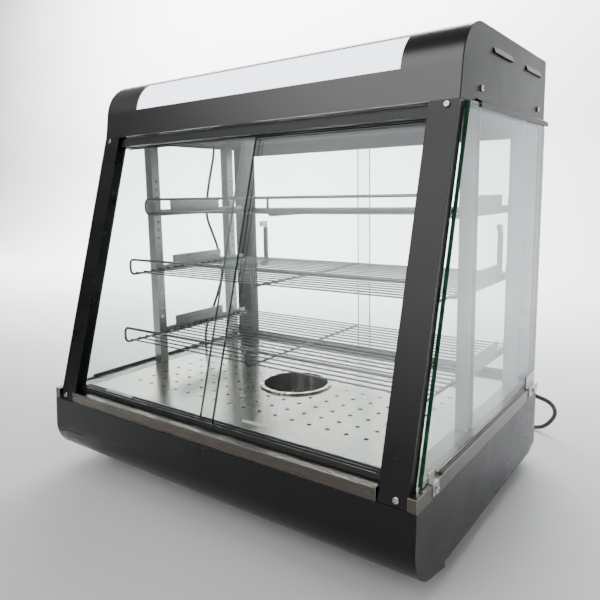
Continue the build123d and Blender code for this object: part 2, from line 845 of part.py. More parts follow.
def front_post(side):
    """Leaning box-section post with level ends and two screw holes in its face."""
    x_outer = side * post_side
    x_inner = side * (post_side - post_width)
    wall = side * post_wall
    shell = [leaned_at(post_low_z, 0), leaned_at(post_high_z, 0)]
    shell += [leaned_at(post_high_z, post_depth), leaned_at(post_low_z, post_depth)]
    bore = [leaned_at(post_low_z - sheet, post_wall), leaned_at(post_high_z + sheet, post_wall)]
    bore += [
        leaned_at(post_high_z + sheet, post_depth - post_wall),
        leaned_at(post_low_z - sheet, post_depth - post_wall),
    ]
    with BuildPart() as post:
        prism_x(shell, x_inner, x_outer)
        prism_x(bore, x_inner + wall, x_outer - wall, mode=Mode.SUBTRACT)
        for along in (post_screw_low, post_screw_high):
            with BuildSketch(post_hole_plane(side, along)) as hole:
                Circle(screw_shank_radius + screw_clearance)
            extrude(hole.sketch, amount=-post_wall * 2, mode=Mode.SUBTRACT)
    return post


def rear_post(side):
    """Upright box-section post at a rear corner."""
    x_low, x_high = sorted((side * post_side, side * (post_side - post_width)))
    y_low = back(rear_post_setback)
    y_high = y_low + rear_post_depth
    with BuildPart() as post:
        block((x_low, y_low, deck_z), (x_high, y_high, canopy_low_z))
        block(
            (x_low + post_wall, y_low + post_wall, deck_z),
            (x_high - post_wall, y_high - post_wall, canopy_low_z - sheet),
            mode=Mode.SUBTRACT,
        )
    return post


for side, name in ((-1, "left"), (1, "right")):
    save(front_post(side), f"front_post_{name}")
    save(rear_post(side), f"rear_post_{name}")


# ================================================================ pilasters and brackets
def pilasters(side):
    """Front and rear slotted channels of one side, their perforated webs facing inward."""
    face = side * pilaster_face
    web = side * (pilaster_face + pilaster_sheet)
    rear = side * (pilaster_face + pilaster_depth)
    with BuildPart() as pair:
        for setback in pilaster_setbacks:
            y_low = back(setback) - pilaster_width / 2
            y_high = y_low + pilaster_width
            x_low, x_high = sorted((face, rear))
            block((x_low, y_low, deck_z), (x_high, y_high, canopy_low_z))
            x_low, x_high = sorted((web, rear))
            block(
                (x_low, y_low + pilaster_sheet, deck_z),
                (x_high, y_high - pilaster_sheet, canopy_low_z - sheet),
                mode=Mode.SUBTRACT,
            )
            with BuildSketch(Plane.YZ.offset(face)) as holes:
                for index in range(pilaster_hole_count):
                    rise = pilaster_first_hole + index * pilaster_hole_pitch
                    with Locations((back(setback), up(rise))):
                        Circle(pilaster_hole_radius)
            extrude(holes.sketch, amount=web - face, mode=Mode.SUBTRACT)
    return pair


def shelf_rise(level):
    """Rise of the frame wire's centre of one shelf, top shelf first."""
    return pilaster_first_hole + hook_holes[level] * pilaster_hole_pitch - hook_above_shelf


def brackets(side):
    """The three shelf brackets of one side, hooked into the pilasters."""
    plate_outer = side * pilaster_face
    plate_inner = side * (pilaster_face - bracket_sheet)
    ledge_inner = side * (pilaster_face - bracket_sheet - bracket_ledge)
    hook_end = side * (pilaster_face + 2 * pilaster_sheet)
    front_lug, rear_lug = pilaster_setbacks
    raised_front, raised_rear = front_lug + bracket_raised_gaps[0], rear_lug - bracket_raised_gaps[1]
    bracket_front, bracket_rear = front_lug - bracket_overhangs[0], rear_lug + bracket_overhangs[1]
    with BuildPart() as trio:
        for level in range(len(hook_holes)):
            rise = shelf_rise(level)
            ledge_top = rise - frame_wire_radius
            low = ledge_top - bracket_sheet
            steps = (
                (bracket_front, low),
                (bracket_front, rise + bracket_lug),
                (front_lug + bracket_lug_half, rise + bracket_lug),
                (front_lug + bracket_lug_half, rise + bracket_low),
                (raised_front, rise + bracket_low),
                (raised_front, rise + bracket_high),
                (raised_rear, rise + bracket_high),
                (raised_rear, rise + bracket_low),
                (rear_lug - bracket_lug_half, rise + bracket_low),
                (rear_lug - bracket_lug_half, rise + bracket_lug),
                (rear_lug + bracket_lug_half, rise + bracket_lug),
                (rear_lug + bracket_lug_half, rise + bracket_low),
                (bracket_rear, rise + bracket_low),
                (bracket_rear, low),
            )
            outline = [(back(setback), up(height)) for setback, height in steps]
            prism_x(outline, plate_inner, plate_outer)
            x_low, x_high = sorted((ledge_inner, plate_inner))
            block(
                (x_low, back(bracket_front), up(low)),
                (x_high, back(bracket_rear), up(ledge_top)),
            )
            for setback in pilaster_setbacks:
                x_low, x_high = sorted((plate_inner, hook_end))
                hook_half = pilaster_hole_radius / 2
                block(
                    (x_low, back(setback) - hook_half, up(rise + hook_above_shelf) - hook_half),
                    (x_high, back(setback) + hook_half, up(rise + hook_above_shelf) + hook_half),
                )
    return trio


for side, name in ((-1, "left"), (1, "right")):
    save(pilasters(side), f"pilasters_{name}")
    save(brackets(side), f"shelf_brackets_{name}")


# ================================================================ wire shelves
def wire_shelf(level):
    """Wire shelf: a frame wire that rises into the front guard, with fine wires across."""
    z = up(shelf_rise(level))
    y_front = back(shelf_front_setbacks[level])
    y_rear = back(shelf_rear_setback)
    top = z + guard_height
    half = shelf_half_width
    fine_z = z + frame_wire_radius + fine_wire_radius - weld_sink
    first = y_front + guard_bend + 2 * fine_wire_radius
    last = y_rear - 2 * fine_wire_radius
    gaps = round((last - first) / wire_pitch)
    with BuildPart() as shelf:
        with BuildLine() as frame_path:
            FilletPolyline(
                (-half, y_rear, z),
                (-half, y_front, z),
                (-half, y_front, top),
                (half, y_front, top),
                (half, y_front, z),
                (half, y_rear, z),
                radius=guard_bend,
            )
        with BuildSketch(Plane(origin=frame_path.line @ 0, z_dir=frame_path.line % 0)):
            Circle(frame_wire_radius)
        sweep(path=frame_path.line)
        with BuildLine() as middle_path:
            FilletPolyline((0, y_rear, z), (0, y_front, z), (0, y_front, top), radius=guard_bend)
        with BuildSketch(Plane(origin=middle_path.line @ 0, z_dir=middle_path.line % 0)):
            Circle(middle_wire_radius)
        sweep(path=middle_path.line)
        with BuildSketch(Plane.YZ.offset(-half)):
            for index in range(gaps + 1):
                with Locations((first + (last - first) * index / gaps, fine_z)):
                    Circle(fine_wire_radius)
        extrude(amount=2 * half)
    return shelf


for level in range(len(hook_holes)):
    save(wire_shelf(level), f"wire_shelf_{level + 1}")


# ================================================================ side glass and its seats
def glass_front(z):
    """(Y, Z) on the side glass's leaning front edge."""
    return (back(post_foot_setback + side_glass_behind) + (z - deck_z) * lean_tan, z)


def side_glass(side):
    """Side pane, its front edge parallel to the post."""
    low = deck_z + pad_height
    high = canopy_low_z - fit_gap
    rear_y = back(side_glass_rear_setback)
    with BuildPart() as pane:
        prism_x(
            [glass_front(low), glass_front(high), (rear_y, high), (rear_y, low)],
            side * side_glass_inner,
            side * side_glass_outer,
        )
    return pane


for side, name in ((-1, "left"), (1, "right")):
    save(side_glass(side), f"side_glass_{name}")

with BuildPart() as glass_seats:
    for side in (-1, 1):
        x_low, x_high = sorted((side * side_glass_inner, side * side_glass_outer))
        for start in seat_setbacks:
            block((x_low, back(start), deck_z), (x_high, back(start + seat_length), deck_z + pad_height))
save(glass_seats, "glass_seats")

with BuildPart() as glass_strips:
    strip_inner = side_glass_outer + clip_gap
    for side in (-1, 1):
        x_low, x_high = sorted((side * strip_inner, side * (strip_inner + clip_sheet)))
        block(
            (x_low, back(front_clip[1] + strip_gap), deck_z),
            (x_high, back(cheek_ear_setback), deck_z + seat_strip_height),
        )
        x_low, x_high = sorted((side * strip_inner, side * (half_width - clip_sheet)))
        block(
            (x_low, back(front_clip[1] + strip_gap), deck_z),
            (x_high, back(cheek_ear_setback), deck_z + clip_sheet),
        )
save(glass_strips, "glass_strips")


def glass_clip(side, span, rise):
    """Clip that hooks over the base's edge and stands against the glass."""
    stand_inner = side_glass_outer + clip_gap
    y_low, y_high = back(span[0]), back(span[1])
    x_low, x_high = sorted((side * half_width, side * (half_width + clip_sheet)))
    block((x_low, y_low, deck_z - clip_drop), (x_high, y_high, deck_z + clip_sheet))
    x_low, x_high = sorted((side * stand_inner, side * (half_width + clip_sheet)))
    block((x_low, y_low, deck_z), (x_high, y_high, deck_z + clip_sheet))
    x_low, x_high = sorted((side * stand_inner, side * (stand_inner + clip_sheet)))
    block((x_low, y_low, deck_z), (x_high, y_high, deck_z + rise))


with BuildPart() as glass_clips:
    for side in (-1, 1):
        glass_clip(side, front_clip, front_clip_rise)
        glass_clip(side, rear_clip, rear_clip_rise)
        for span in (front_clip, rear_clip):
            rod(
                (side * half_width, back(sum(span) / 2), deck_z - clip_screw_drop),
                (side * (half_width + clip_sheet), back(sum(span) / 2), deck_z - clip_screw_drop),
                screw_shank_radius + screw_clearance,
                mode=Mode.SUBTRACT,
            )
save(glass_clips, "glass_clips")

# ================================================================ front tracks and doors
door_pitch = track_groove + track_rib
rib_depths = [track_depth + index * door_pitch for index in range(track_ribs)]
rib_last = rib_depths[-1] + track_rib
door_depths = [
    track_depth + track_rib + (track_groove - glass_thickness) / 2 + index * door_pitch for index in range(2)
]
track_half = post_side - post_width


def along_slope(z, depth):
    """Distance up the slope of a point at this height and depth."""
    return (z - deck_z + depth * lean_sin) / lean_cos


def upright_rib(z_low, z_high, depth_low, depth_high):
    """(Y, Z) outline between two depths, with level ends."""
    return [
        leaned_at(z_low, depth_low),
        leaned_at(z_high, depth_low),
        leaned_at(z_high, depth_high),
        leaned_at(z_low, depth_high),
    ]


def square_rib(along_low, along_high, depth_low, depth_high):
    """(Y, Z) outline between two depths, with ends square to the slope."""
    return [
        leaned(along_low, depth_low),
        leaned(along_high, depth_low),
        leaned(along_high, depth_high),
        leaned(along_low, depth_high),
    ]


with BuildPart() as front_track_lower:
    prism_x(upright_rib(deck_z, deck_z + track_floor, track_depth, rib_last), -track_half, track_half)
    for depth in rib_depths:
        prism_x(
            upright_rib(deck_z, deck_z + track_height, depth, depth + track_rib),
            -track_half,
            track_half,
        )
save(front_track_lower, "front_track_lower")

with BuildPart() as front_track_upper:
    web_low = front_rail_top - front_rail_web
    prism_x(square_rib(web_low, front_rail_top, front_rail_depth, rib_last), -track_half, track_half)
    prism_x(
        square_rib(front_rail_low, web_low, front_rail_depth, track_depth + track_rib),
        -track_half,
        track_half,
    )
    for depth in rib_depths[1:]:
        prism_x(
            square_rib(front_rail_low, web_low, depth, depth + track_rib),
            -track_half,
            track_half,
        )
save(front_track_upper, "front_track_upper")

door_half_overlap = door_overlap / 2
door_outer = track_half - door_end_gap


def door_span(side):
    """Lowest and highest X of a door, which overlaps its neighbour at the middle."""
    return sorted((side * door_outer, -side * door_half_overlap))


def front_door(side, depth):
    """Leaning sliding pane in its groove."""
    low = along_slope(deck_z + track_floor + door_lift_gap, depth + glass_thickness)
    outline = square_rib(low, front_rail_low + door_bite, depth, depth + glass_thickness)
    with BuildPart() as door:
        prism_x(outline, *door_span(side))
    return door


def door_pull(span, along, depth):
    """Thin finger strip on a pane's front face."""
    outline = square_rib(along, along + pull_height, depth - pull_thickness, depth)
    with BuildPart() as pull:
        prism_x(outline, *span)
    return pull


for index, (side, name) in enumerate(((-1, "left"), (1, "right"))):
    depth = door_depths[index]
    save(front_door(side, depth), f"front_door_{name}")
    save(door_pull(pull_spans[index], pull_alongs[index], depth), f"door_pull_{name}")

# ================================================================ rear tracks and doors
rear_pitch = rear_groove + track_rib
rear_rib_setbacks = [rear_track_setback + index * rear_pitch for index in range(track_ribs)]
rear_last = rear_rib_setbacks[-1] + track_rib
rear_door_setbacks = [
    rear_track_setback + track_rib + (rear_groove - glass_thickness) / 2 + index * rear_pitch
    for index in range(2)
]
rear_rail_low_z = canopy_low_z - rear_rail_height

with BuildPart() as rear_track_lower:
    block(
        (-track_half, back(rear_track_setback), deck_z),
        (track_half, back(rear_last), deck_z + track_floor),
    )
    for setback in rear_rib_setbacks:
        block(
            (-track_half, back(setback), deck_z),
            (track_half, back(setback + track_rib), deck_z + rear_track_height),
        )
save(rear_track_lower, "rear_track_lower")

with BuildPart() as rear_track_upper:
    block(
        (-track_half, back(rear_track_setback), canopy_low_z - front_rail_web),
        (track_half, back(rear_last), canopy_low_z),
    )
    for setback in rear_rib_setbacks:
        block(
            (-track_half, back(setback), rear_rail_low_z),
            (track_half, back(setback + track_rib), canopy_low_z),
        )
save(rear_track_upper, "rear_track_upper")


def rear_door(side, setback):
    """Upright sliding pane at the rear."""
    x_low, x_high = door_span(side)
    with BuildPart() as door:
        block(
            (x_low, back(setback), deck_z + track_floor + door_lift_gap),
            (x_high, back(setback + glass_thickness), rear_rail_low_z + rear_door_bite),
        )
    return door


def rear_handle(side, setback):
    """Bar handle: a grip held off the pane by a bracket at each end."""
    x_low = side * (door_outer - handle_from_edge) - handle_width / 2
    x_high = x_low + handle_width
    z_low = up(handle_rise) - handle_length / 2
    z_high = z_low + handle_length
    grip_rear = rear_panel_y + handle_reach
    grip_front = grip_rear - handle_grip_depth
    with BuildPart() as handle:
        block((x_low, grip_front, z_low), (x_high, grip_rear, z_high))
        for z in (z_low, z_high - handle_end_height):
            block((x_low, back(setback + glass_thickness), z), (x_high, grip_front, z + handle_end_height))
        fillet(handle.edges().filter_by(Axis.Z).group_by(Axis.Y)[-1], handle_corner)
    return handle


for index, (side, name) in enumerate(((-1, "left"), (1, "right"))):
    save(rear_door(side, rear_door_setbacks[index]), f"rear_door_{name}")
    save(rear_handle(side, rear_door_setbacks[index]), f"rear_handle_{name}")

# ================================================================ canopy
canopy_centre = (canopy_arc_y, canopy_arc_z)
canopy_start = 180.0 - canopy_lean
crown = 90.0
ceiling_top_z = canopy_low_z + sheet
canopy_rear_low_z = canopy_low_z - hem_drop


def on_canopy(angle, inset=0.0):
    """(Y, Z) on the canopy's arc, or inset towards its centre."""
    r = canopy_radius - inset
    return (canopy_centre[0] + r * cos(radians(angle)), canopy_centre[1] + r * sin(radians(angle)))


def canopy_foot(inset=0.0):
    """(Y, Z) at the canopy's front lower edge."""
    return (back(canopy_front_setback) + inset / cos(radians(canopy_lean)), canopy_low_z)


def canopy_top(inset=0.0):
    """(Y, Z) at the canopy's rear upper corner."""
    return (canopy_rear_y - inset, case_height - inset)


with BuildPart() as canopy_cover:
    with BuildSketch(Plane.YZ.offset(-canopy_side + sheet)):
        with BuildLine():
            Line(canopy_foot(), on_canopy(canopy_start))
            CenterArc(canopy_centre, canopy_radius, canopy_start, crown - canopy_start)
            Polyline(
                on_canopy(crown),
                canopy_top(),
                (canopy_rear_y, canopy_rear_low_z),
                (canopy_rear_y - sheet, canopy_rear_low_z),
                canopy_top(sheet),
                on_canopy(crown, sheet),
            )
            CenterArc(canopy_centre, canopy_radius - sheet, crown, canopy_start - crown)
            Line(on_canopy(canopy_start, sheet), canopy_foot(sheet))
            Line(canopy_foot(sheet), canopy_foot())
        make_face()
    extrude(amount=2 * (canopy_side - sheet))
    window = [canopy_centre]
    for angle in (window_low_angle, (window_low_angle + window_high_angle) / 2, window_high_angle):
        window.append(on_canopy(angle, -canopy_radius / 2))
    prism_x(window, -window_half_width, window_half_width, mode=Mode.SUBTRACT)
save(canopy_cover, "canopy_cover")


def canopy_end(side):
    """End panel with a hem that steps out over the side glass, and two rows of louvers."""
    inner = side * (canopy_side - sheet)
    outer = side * canopy_side
    face = side * (canopy_side + louver_proud)
    hem_outer = side * (hem_inner + sheet)
    with BuildPart() as panel:
        with BuildSketch(Plane.YZ.offset(inner)):
            with BuildLine():
                Line(canopy_foot(), on_canopy(canopy_start))
                CenterArc(canopy_centre, canopy_radius, canopy_start, crown - canopy_start)
                Polyline(
                    on_canopy(crown),
                    canopy_top(),
                    (canopy_rear_y, canopy_low_z),
                    canopy_foot(),
                )
            make_face()
        extrude(amount=outer - inner)
        hem = (
            (inner, canopy_low_z + hem_drop),
            (outer, canopy_low_z + hem_drop),
            (hem_outer, canopy_low_z + sheet),
            (hem_outer, canopy_low_z - hem_drop),
            (side * hem_inner, canopy_low_z - hem_drop),
            (side * hem_inner, canopy_low_z + fit_gap),
            (outer, canopy_low_z + hem_drop - 2 * sheet),
            (inner, canopy_low_z + hem_drop - 2 * sheet),
        )
        prism_y(hem, back(hem_front_setback), canopy_rear_y)
        for setback in louver_setbacks:
            y = back(setback)
            half = louver_length / 2
            z = louver_z - louver_height / 2
            scoop = ((outer, z), (outer, z + louver_height), (face, z))
            throat = (
                (inner - side * sheet, z),
                (inner - side * sheet, z + louver_height - 2 * sheet),
                (outer, z + louver_height - 2 * sheet),
                (face - side * sheet, z),
            )
            prism_y(scoop, y - half, y + half)
            prism_y(throat, y - half + sheet, y + half - sheet, mode=Mode.SUBTRACT)
        for setback in end_screw_setbacks:
            rod(
                (inner, back(setback), end_screw_z),
                (outer, back(setback), end_screw_z),
                screw_shank_radius + screw_clearance,
                mode=Mode.SUBTRACT,
            )
    return panel


for side, name in ((-1, "left"), (1, "right")):
    save(canopy_end(side), f"canopy_end_{name}")

with BuildPart() as canopy_ceiling:
    block(
        (-canopy_side + sheet, canopy_foot(sheet)[0] + fit_gap, canopy_low_z),
        (canopy_side - sheet, canopy_rear_y - sheet, ceiling_top_z),
    )
    rod(
        (-lead_inset, back(lead_top_setback), canopy_low_z),
        (-lead_inset, back(lead_top_setback), ceiling_top_z),
        lead_hole_radius,
        mode=Mode.SUBTRACT,
    )
    with BuildSketch(Plane.XY.offset(canopy_low_z)):
        with Locations((0, back(canopy_front_setback + lamp_vent_gap))):
            with GridLocations(lamp_vent_pitch, 1, lamp_vent_count, 1):
                SlotOverall(lamp_vent_pitch - lamp_vent_land, lamp_vent_width)
    extrude(amount=sheet, mode=Mode.SUBTRACT)
save(canopy_ceiling, "canopy_ceiling")

with BuildPart() as light_diffuser:
    outer_radius = canopy_radius - sheet - diffuser_gap
    low_angle = window_low_angle + diffuser_lap_angle
    span = window_high_angle - diffuser_lap_angle - low_angle
    with BuildSketch(Plane.YZ.offset(-window_half_width - diffuser_overlap)):
        with BuildLine():
            outer_arc = CenterArc(canopy_centre, outer_radius, low_angle, span)
            inner_arc = CenterArc(canopy_centre, outer_radius - diffuser_thickness, low_angle, span)
            Line(outer_arc @ 0, inner_arc @ 0)
            Line(outer_arc @ 1, inner_arc @ 1)
        make_face()
    extrude(amount=2 * (window_half_width + diffuser_overlap))
save(light_diffuser, "light_diffuser")

lamp_y = canopy_arc_y + lamp_from_centre[0]
lamp_z = canopy_arc_z + lamp_from_centre[1]

with BuildPart() as lamp_tube:
    rod((-lamp_half_length, lamp_y, lamp_z), (lamp_half_length, lamp_y, lamp_z), lamp_radius)
save(lamp_tube, "lamp_tube")

with BuildPart() as lamp_holders:
    for side in (-1, 1):
        x_low, x_high = sorted((side * lamp_half_length, side * (lamp_half_length + holder_size[0])))
        block(
            (x_low, lamp_y - holder_size[1] / 2, ceiling_top_z),
            (x_high, lamp_y + holder_size[1] / 2, lamp_z + holder_above_lamp),
        )
save(lamp_holders, "lamp_holders")


# ================================================================ screws
def screw(place):
    """Pan-head screw; the plane's origin is under the head and its normal points out."""
    with BuildSketch(place) as head_outline:
        Circle(screw_head_radius)
    head = extrude(head_outline.sketch, amount=screw_head_height)
    fillet(head.edges().group_by(Axis(place.origin, place.z_dir))[-1], screw_head_height / 2)
    with BuildSketch(place) as shank_outline:
        Circle(screw_shank_radius)
    extrude(shank_outline.sketch, amount=-screw_shank_length)
    with BuildSketch(place.offset(screw_head_height)) as cross:
        Rectangle(screw_cross[0], screw_cross[1])
        Rectangle(screw_cross[1], screw_cross[0])
    extrude(cross.sketch, amount=-screw_cross[2], mode=Mode.SUBTRACT)


with BuildPart() as case_screws:
    for side in (-1, 1):
        for along in (post_screw_low, post_screw_high):
            screw(post_hole_plane(side, along))
        for setback in end_screw_setbacks:
            origin = (side * canopy_side, back(setback), end_screw_z)
            screw(Plane(origin=origin, x_dir=(0, 1, 0), z_dir=(side, 0, 0)))
        for span in (front_clip, rear_clip):
            origin = (side * (half_width + clip_sheet), back(sum(span) / 2), deck_z - clip_screw_drop)
            screw(Plane(origin=origin, x_dir=(0, 1, 0), z_dir=(side, 0, 0)))
save(case_screws, "case_screws")

# ================================================================ lamp lead
def bend_radii(route):
    """Largest tangent arc that each corner's shorter run has room for."""
    radii = []
    for before, corner, after in zip(route, route[1:], route[2:]):
        arriving = Vector(*corner) - Vector(*before)
        leaving = Vector(*after) - Vector(*corner)
        half_turn = radians(arriving.get_angle(leaving)) / 2
        radii.append(arc_share * min(arriving.length, leaving.length) / tan(half_turn))
    return radii


def cable(route, radius, name):
    """Round cable on straight runs joined by tangent arcs."""
    radii = bend_radii(route)
    with BuildPart() as tube:
        with BuildLine() as path:
            FilletPolyline(*route, radius=radii)
        with BuildSketch(Plane(origin=path.line @ 0, z_dir=path.line % 0)) as section:
            Circle(radius)
        sweep(path=path.line)
    length = sum(edge.length for edge in path.line.edges())
    swept = section.sketch.area * length
    print(name, "radii", [round(r, 1) for r in radii], "length", round(length, 1))
    print(name, "volume over section times length", round(tube.part.volume / swept, 4))
    return tube


lead_route = [(-lead_inset, back(lead_top_setback), canopy_low_z + lead_tail)]
lead_route += [(-lead_inset, back(setback), up(share * cabinet_height)) for setback, share in lead_points]
lead_route += [(-lead_inset, back(lead_foot_setback), deck_z - lead_tail)]
save(cable(lead_route, lead_radius, "lamp lead"), "lamp_lead")

# ================================================================ gland, cord, coil, plug
cord_radius = cord_diameter / 2
cord_route = [(x, rear_panel_y + behind, up(rise)) for x, behind, rise in cord_points]
gland_x, gland_end_y, gland_z = cord_route[0]

with BuildPart() as cord_gland:
    flange_y = rear_panel_y + gland_flange
    rod((gland_x, rear_panel_y - gland_body_depth, gland_z), (gland_x, rear_panel_y, gland_z), gland_radius)
    rod((gland_x, rear_panel_y, gland_z), (gland_x, flange_y, gland_z), gland_flange_radius)
    with BuildSketch(Plane.XZ.offset(-flange_y)) as boot_foot:
        with Locations((gland_x, gland_z)):
            Circle(gland_radius - fit_gap)
    with BuildSketch(Plane.XZ.offset(-gland_end_y)) as boot_tip:
        with Locations((gland_x, gland_z)):
            Circle(gland_boot_radius)
    loft([boot_foot.sketch.face(), boot_tip.sketch.face()])
save(cord_gland, "cord_gland")

save(cable(cord_route, cord_radius, "power cord"), "power_cord")

coil_mid_radius = coil_turn_diameter / 2
coil_half_width = coil_columns * cord_radius
coil_y = rear_panel_y + coil_behind

with BuildPart() as cord_coil:
    with BuildSketch(Plane.XZ.offset(-coil_y)):
        with Locations((coil_x + coil_mid_radius, coil_layers * cord_radius)):
            RectangleRounded(2 * coil_half_width, coil_layers * cord_diameter, cord_radius - fit_gap)
    revolve(axis=Axis((coil_x, coil_y, 0), (0, 0, 1)))
save(cord_coil, "cord_coil")

plug_x = coil_x - coil_mid_radius - cord_radius
plug_y = rear_panel_y + plug_behind
plug_z = plug_size[2] / 2
neck_end_y = coil_y - sqrt((coil_mid_radius + coil_half_width) ** 2 - (coil_mid_radius + cord_radius) ** 2)

with BuildPart() as mains_plug:
    block(
        (plug_x - plug_size[0] / 2, plug_y - plug_size[1], 0),
        (plug_x + plug_size[0] / 2, plug_y, plug_size[2]),
    )
    fillet(mains_plug.edges().filter_by(Axis.Y), plug_corner)
    rod((plug_x, plug_y, plug_z), (plug_x, neck_end_y, plug_z), plug_neck_radius)
    blade_y = plug_y - plug_size[1]
    for side in (-1, 1):
        x = plug_x + side * plug_blade_half_pitch
        block(
            (x - plug_blade[1] / 2, blade_y - plug_blade[0], plug_z),
            (x + plug_blade[1] / 2, blade_y, plug_z + plug_blade[2]),
        )
    rod(
        (plug_x, blade_y, plug_z - plug_earth_drop),
        (plug_x, blade_y - plug_blade[0], plug_z - plug_earth_drop),
        plug_earth_radius,
    )
save(mains_plug, "mains_plug")
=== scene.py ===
from math import cos, pi, radians, sin

import bpy
from mathutils import Matrix, Vector


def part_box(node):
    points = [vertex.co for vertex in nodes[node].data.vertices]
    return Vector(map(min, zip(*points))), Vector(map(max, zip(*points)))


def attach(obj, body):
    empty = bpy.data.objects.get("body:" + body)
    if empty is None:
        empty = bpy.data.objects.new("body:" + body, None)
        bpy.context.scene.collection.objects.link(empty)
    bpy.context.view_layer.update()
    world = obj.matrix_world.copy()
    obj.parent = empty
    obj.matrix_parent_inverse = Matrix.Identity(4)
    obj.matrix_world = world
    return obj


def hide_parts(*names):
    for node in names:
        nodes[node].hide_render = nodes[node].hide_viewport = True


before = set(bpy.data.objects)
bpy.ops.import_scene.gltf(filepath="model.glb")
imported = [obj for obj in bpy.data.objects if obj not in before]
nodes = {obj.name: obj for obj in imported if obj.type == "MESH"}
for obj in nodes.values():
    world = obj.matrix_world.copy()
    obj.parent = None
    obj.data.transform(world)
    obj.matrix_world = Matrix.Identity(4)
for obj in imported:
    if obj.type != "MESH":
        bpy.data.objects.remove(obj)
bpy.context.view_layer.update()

MM = 0.001
scene = bpy.context.scene

# ---------------------------------------------------------------- camera
CAMERA_PLACE = (0.5709, -0.7866, 0.4591)
CAMERA_YAW = 37.03
CAMERA_PITCH = -8.376
CAMERA_ROLL = -1.212
CAMERA_LENS = 35.5
CAMERA_SHIFT = (0.0229, -0.0332)
CAMERA_SENSOR = 36.0
CAMERA_CLIP = (0.05, 20.0)


def make_camera():
    """Camera in front of the case's right corner, a little above its middle."""
    data = bpy.data.cameras.new("camera")
    data.sensor_width = CAMERA_SENSOR
    data.lens = CAMERA_LENS
    data.shift_x, data.shift_y = CAMERA_SHIFT
    data.clip_start, data.clip_end = CAMERA_CLIP
    camera = bpy.data.objects.new("camera", data)
    turn = Matrix.Rotation(radians(CAMERA_YAW), 4, "Z")
    tilt = Matrix.Rotation(pi / 2 + radians(CAMERA_PITCH), 4, "X")
    roll = Matrix.Rotation(radians(CAMERA_ROLL), 4, "Z")
    camera.matrix_world = Matrix.Translation(CAMERA_PLACE) @ turn @ tilt @ roll
    scene.collection.objects.link(camera)
    scene.camera = camera


# ---------------------------------------------------------------- material tools
class Shader:
    """A node material under construction, with short helpers for its nodes."""

    def __init__(self, name):
        self.material = bpy.data.materials.new(name)
        self.material.use_nodes = True
        self.tree = self.material.node_tree
        self.tree.nodes.clear()
        self.output = self.tree.nodes.new("ShaderNodeOutputMaterial")
        self.coords = self.tree.nodes.new("ShaderNodeTexCoord").outputs["Object"]

    def node(self, kind, **settings):
        made = self.tree.nodes.new(kind)
        for key, value in settings.items():
            setattr(made, key, value)
        return made

    def link(self, source, target):
        self.tree.links.new(source, target)

    def principled(self, **values):
        shader = self.node("ShaderNodeBsdfPrincipled")
        for key, value in values.items():
            shader.inputs[key.replace("_", " ")].default_value = value
        self.link(shader.outputs[0], self.output.inputs["Surface"])
        return shader

    def stretched(self, scale):
        """Object coordinates scaled per axis, for grain that runs one way."""
        mapping = self.node("ShaderNodeMapping")
        mapping.inputs["Scale"].default_value = scale
        self.link(self.coords, mapping.inputs["Vector"])
        return mapping.outputs[0]

    def noise(self, scale, detail=3.0, roughness=0.5, coords=None, distortion=0.0):
        made = self.node("ShaderNodeTexNoise")
        made.inputs["Scale"].default_value = scale
        made.inputs["Detail"].default_value = detail
        made.inputs["Roughness"].default_value = roughness
        made.inputs["Distortion"].default_value = distortion
        self.link(coords or self.coords, made.inputs["Vector"])
        return made.outputs["Fac"]

    def ramp(self, source, *stops):
        """Colour ramp with (position, colour) stops; a number stands for a grey."""
        made = self.node("ShaderNodeValToRGB")
        while len(made.color_ramp.elements) < len(stops):
            made.color_ramp.elements.new(1.0)
        for element, (place, colour) in zip(made.color_ramp.elements, stops):
            element.position = place
            if isinstance(colour, (int, float)):
                colour = (colour, colour, colour)
            element.color = (*colour, 1.0)
        self.link(source, made.inputs[0])
        return made.outputs[0]

    def mix(self, factor, first, second, blend="MIX"):
        """Mix of two colours, each a node output, a colour or a grey."""
        made = self.node("ShaderNodeMix", data_type="RGBA", blend_type=blend)
        for value, index in ((factor, 0), (first, 6), (second, 7)):
            if isinstance(value, (int, float)) and index:
                value = (value, value, value, 1.0)
            if isinstance(value, tuple) and len(value) == 3:
                value = (*value, 1.0)
            if hasattr(value, "is_output"):
                self.link(value, made.inputs[index])
            else:
                made.inputs[index].default_value = value
        return made.outputs[2]

    def math(self, operation, first, second=0.0):
        """Arithmetic on a node output and a number or another output."""
        made = self.node("ShaderNodeMath", operation=operation)
        for value, socket in zip((first, second), made.inputs):
            if hasattr(value, "is_output"):
                self.link(value, socket)
            else:
                socket.default_value = value
        return made.outputs[0]

    def blend(self, factor, first, second):
        """Mix of two shaders."""
        made = self.node("ShaderNodeMixShader")
        for value, socket in zip((factor, first, second), made.inputs):
            if hasattr(value, "is_output"):
                self.link(value, socket)
            else:
                socket.default_value = value
        return made.outputs[0]

    def edge_wear_and_highlight(self, radius):
        """Rounded normal of a sheet's edges, and a mask that is 1 where it bends: real edge wear on paint,
        painted edge highlights on steel and plastic.
        """
        rounded = self.node("ShaderNodeBevel", samples=4)
        rounded.inputs["Radius"].default_value = radius
        flat = self.node("ShaderNodeNewGeometry").outputs["Normal"]
        facing = self.node("ShaderNodeVectorMath", operation="DOT_PRODUCT")
        self.link(rounded.outputs[0], facing.inputs[0])
        self.link(flat, facing.inputs[1])
        bent = self.node("ShaderNodeMapRange")
        bent.inputs["From Min"].default_value = 0.995
        bent.inputs["From Max"].default_value = 0.90
        self.link(facing.outputs["Value"], bent.inputs["Value"])
        return rounded.outputs[0], bent.outputs[0]

    def bump(self, shader, height, strength, distance, normal=None):
        made = self.node("ShaderNodeBump")
        made.inputs["Strength"].default_value = strength
        made.inputs["Distance"].default_value = distance
        self.link(height, made.inputs["Height"])
        if normal:
            self.link(normal, made.inputs["Normal"])
        self.link(made.outputs[0], shader.inputs["Normal"])


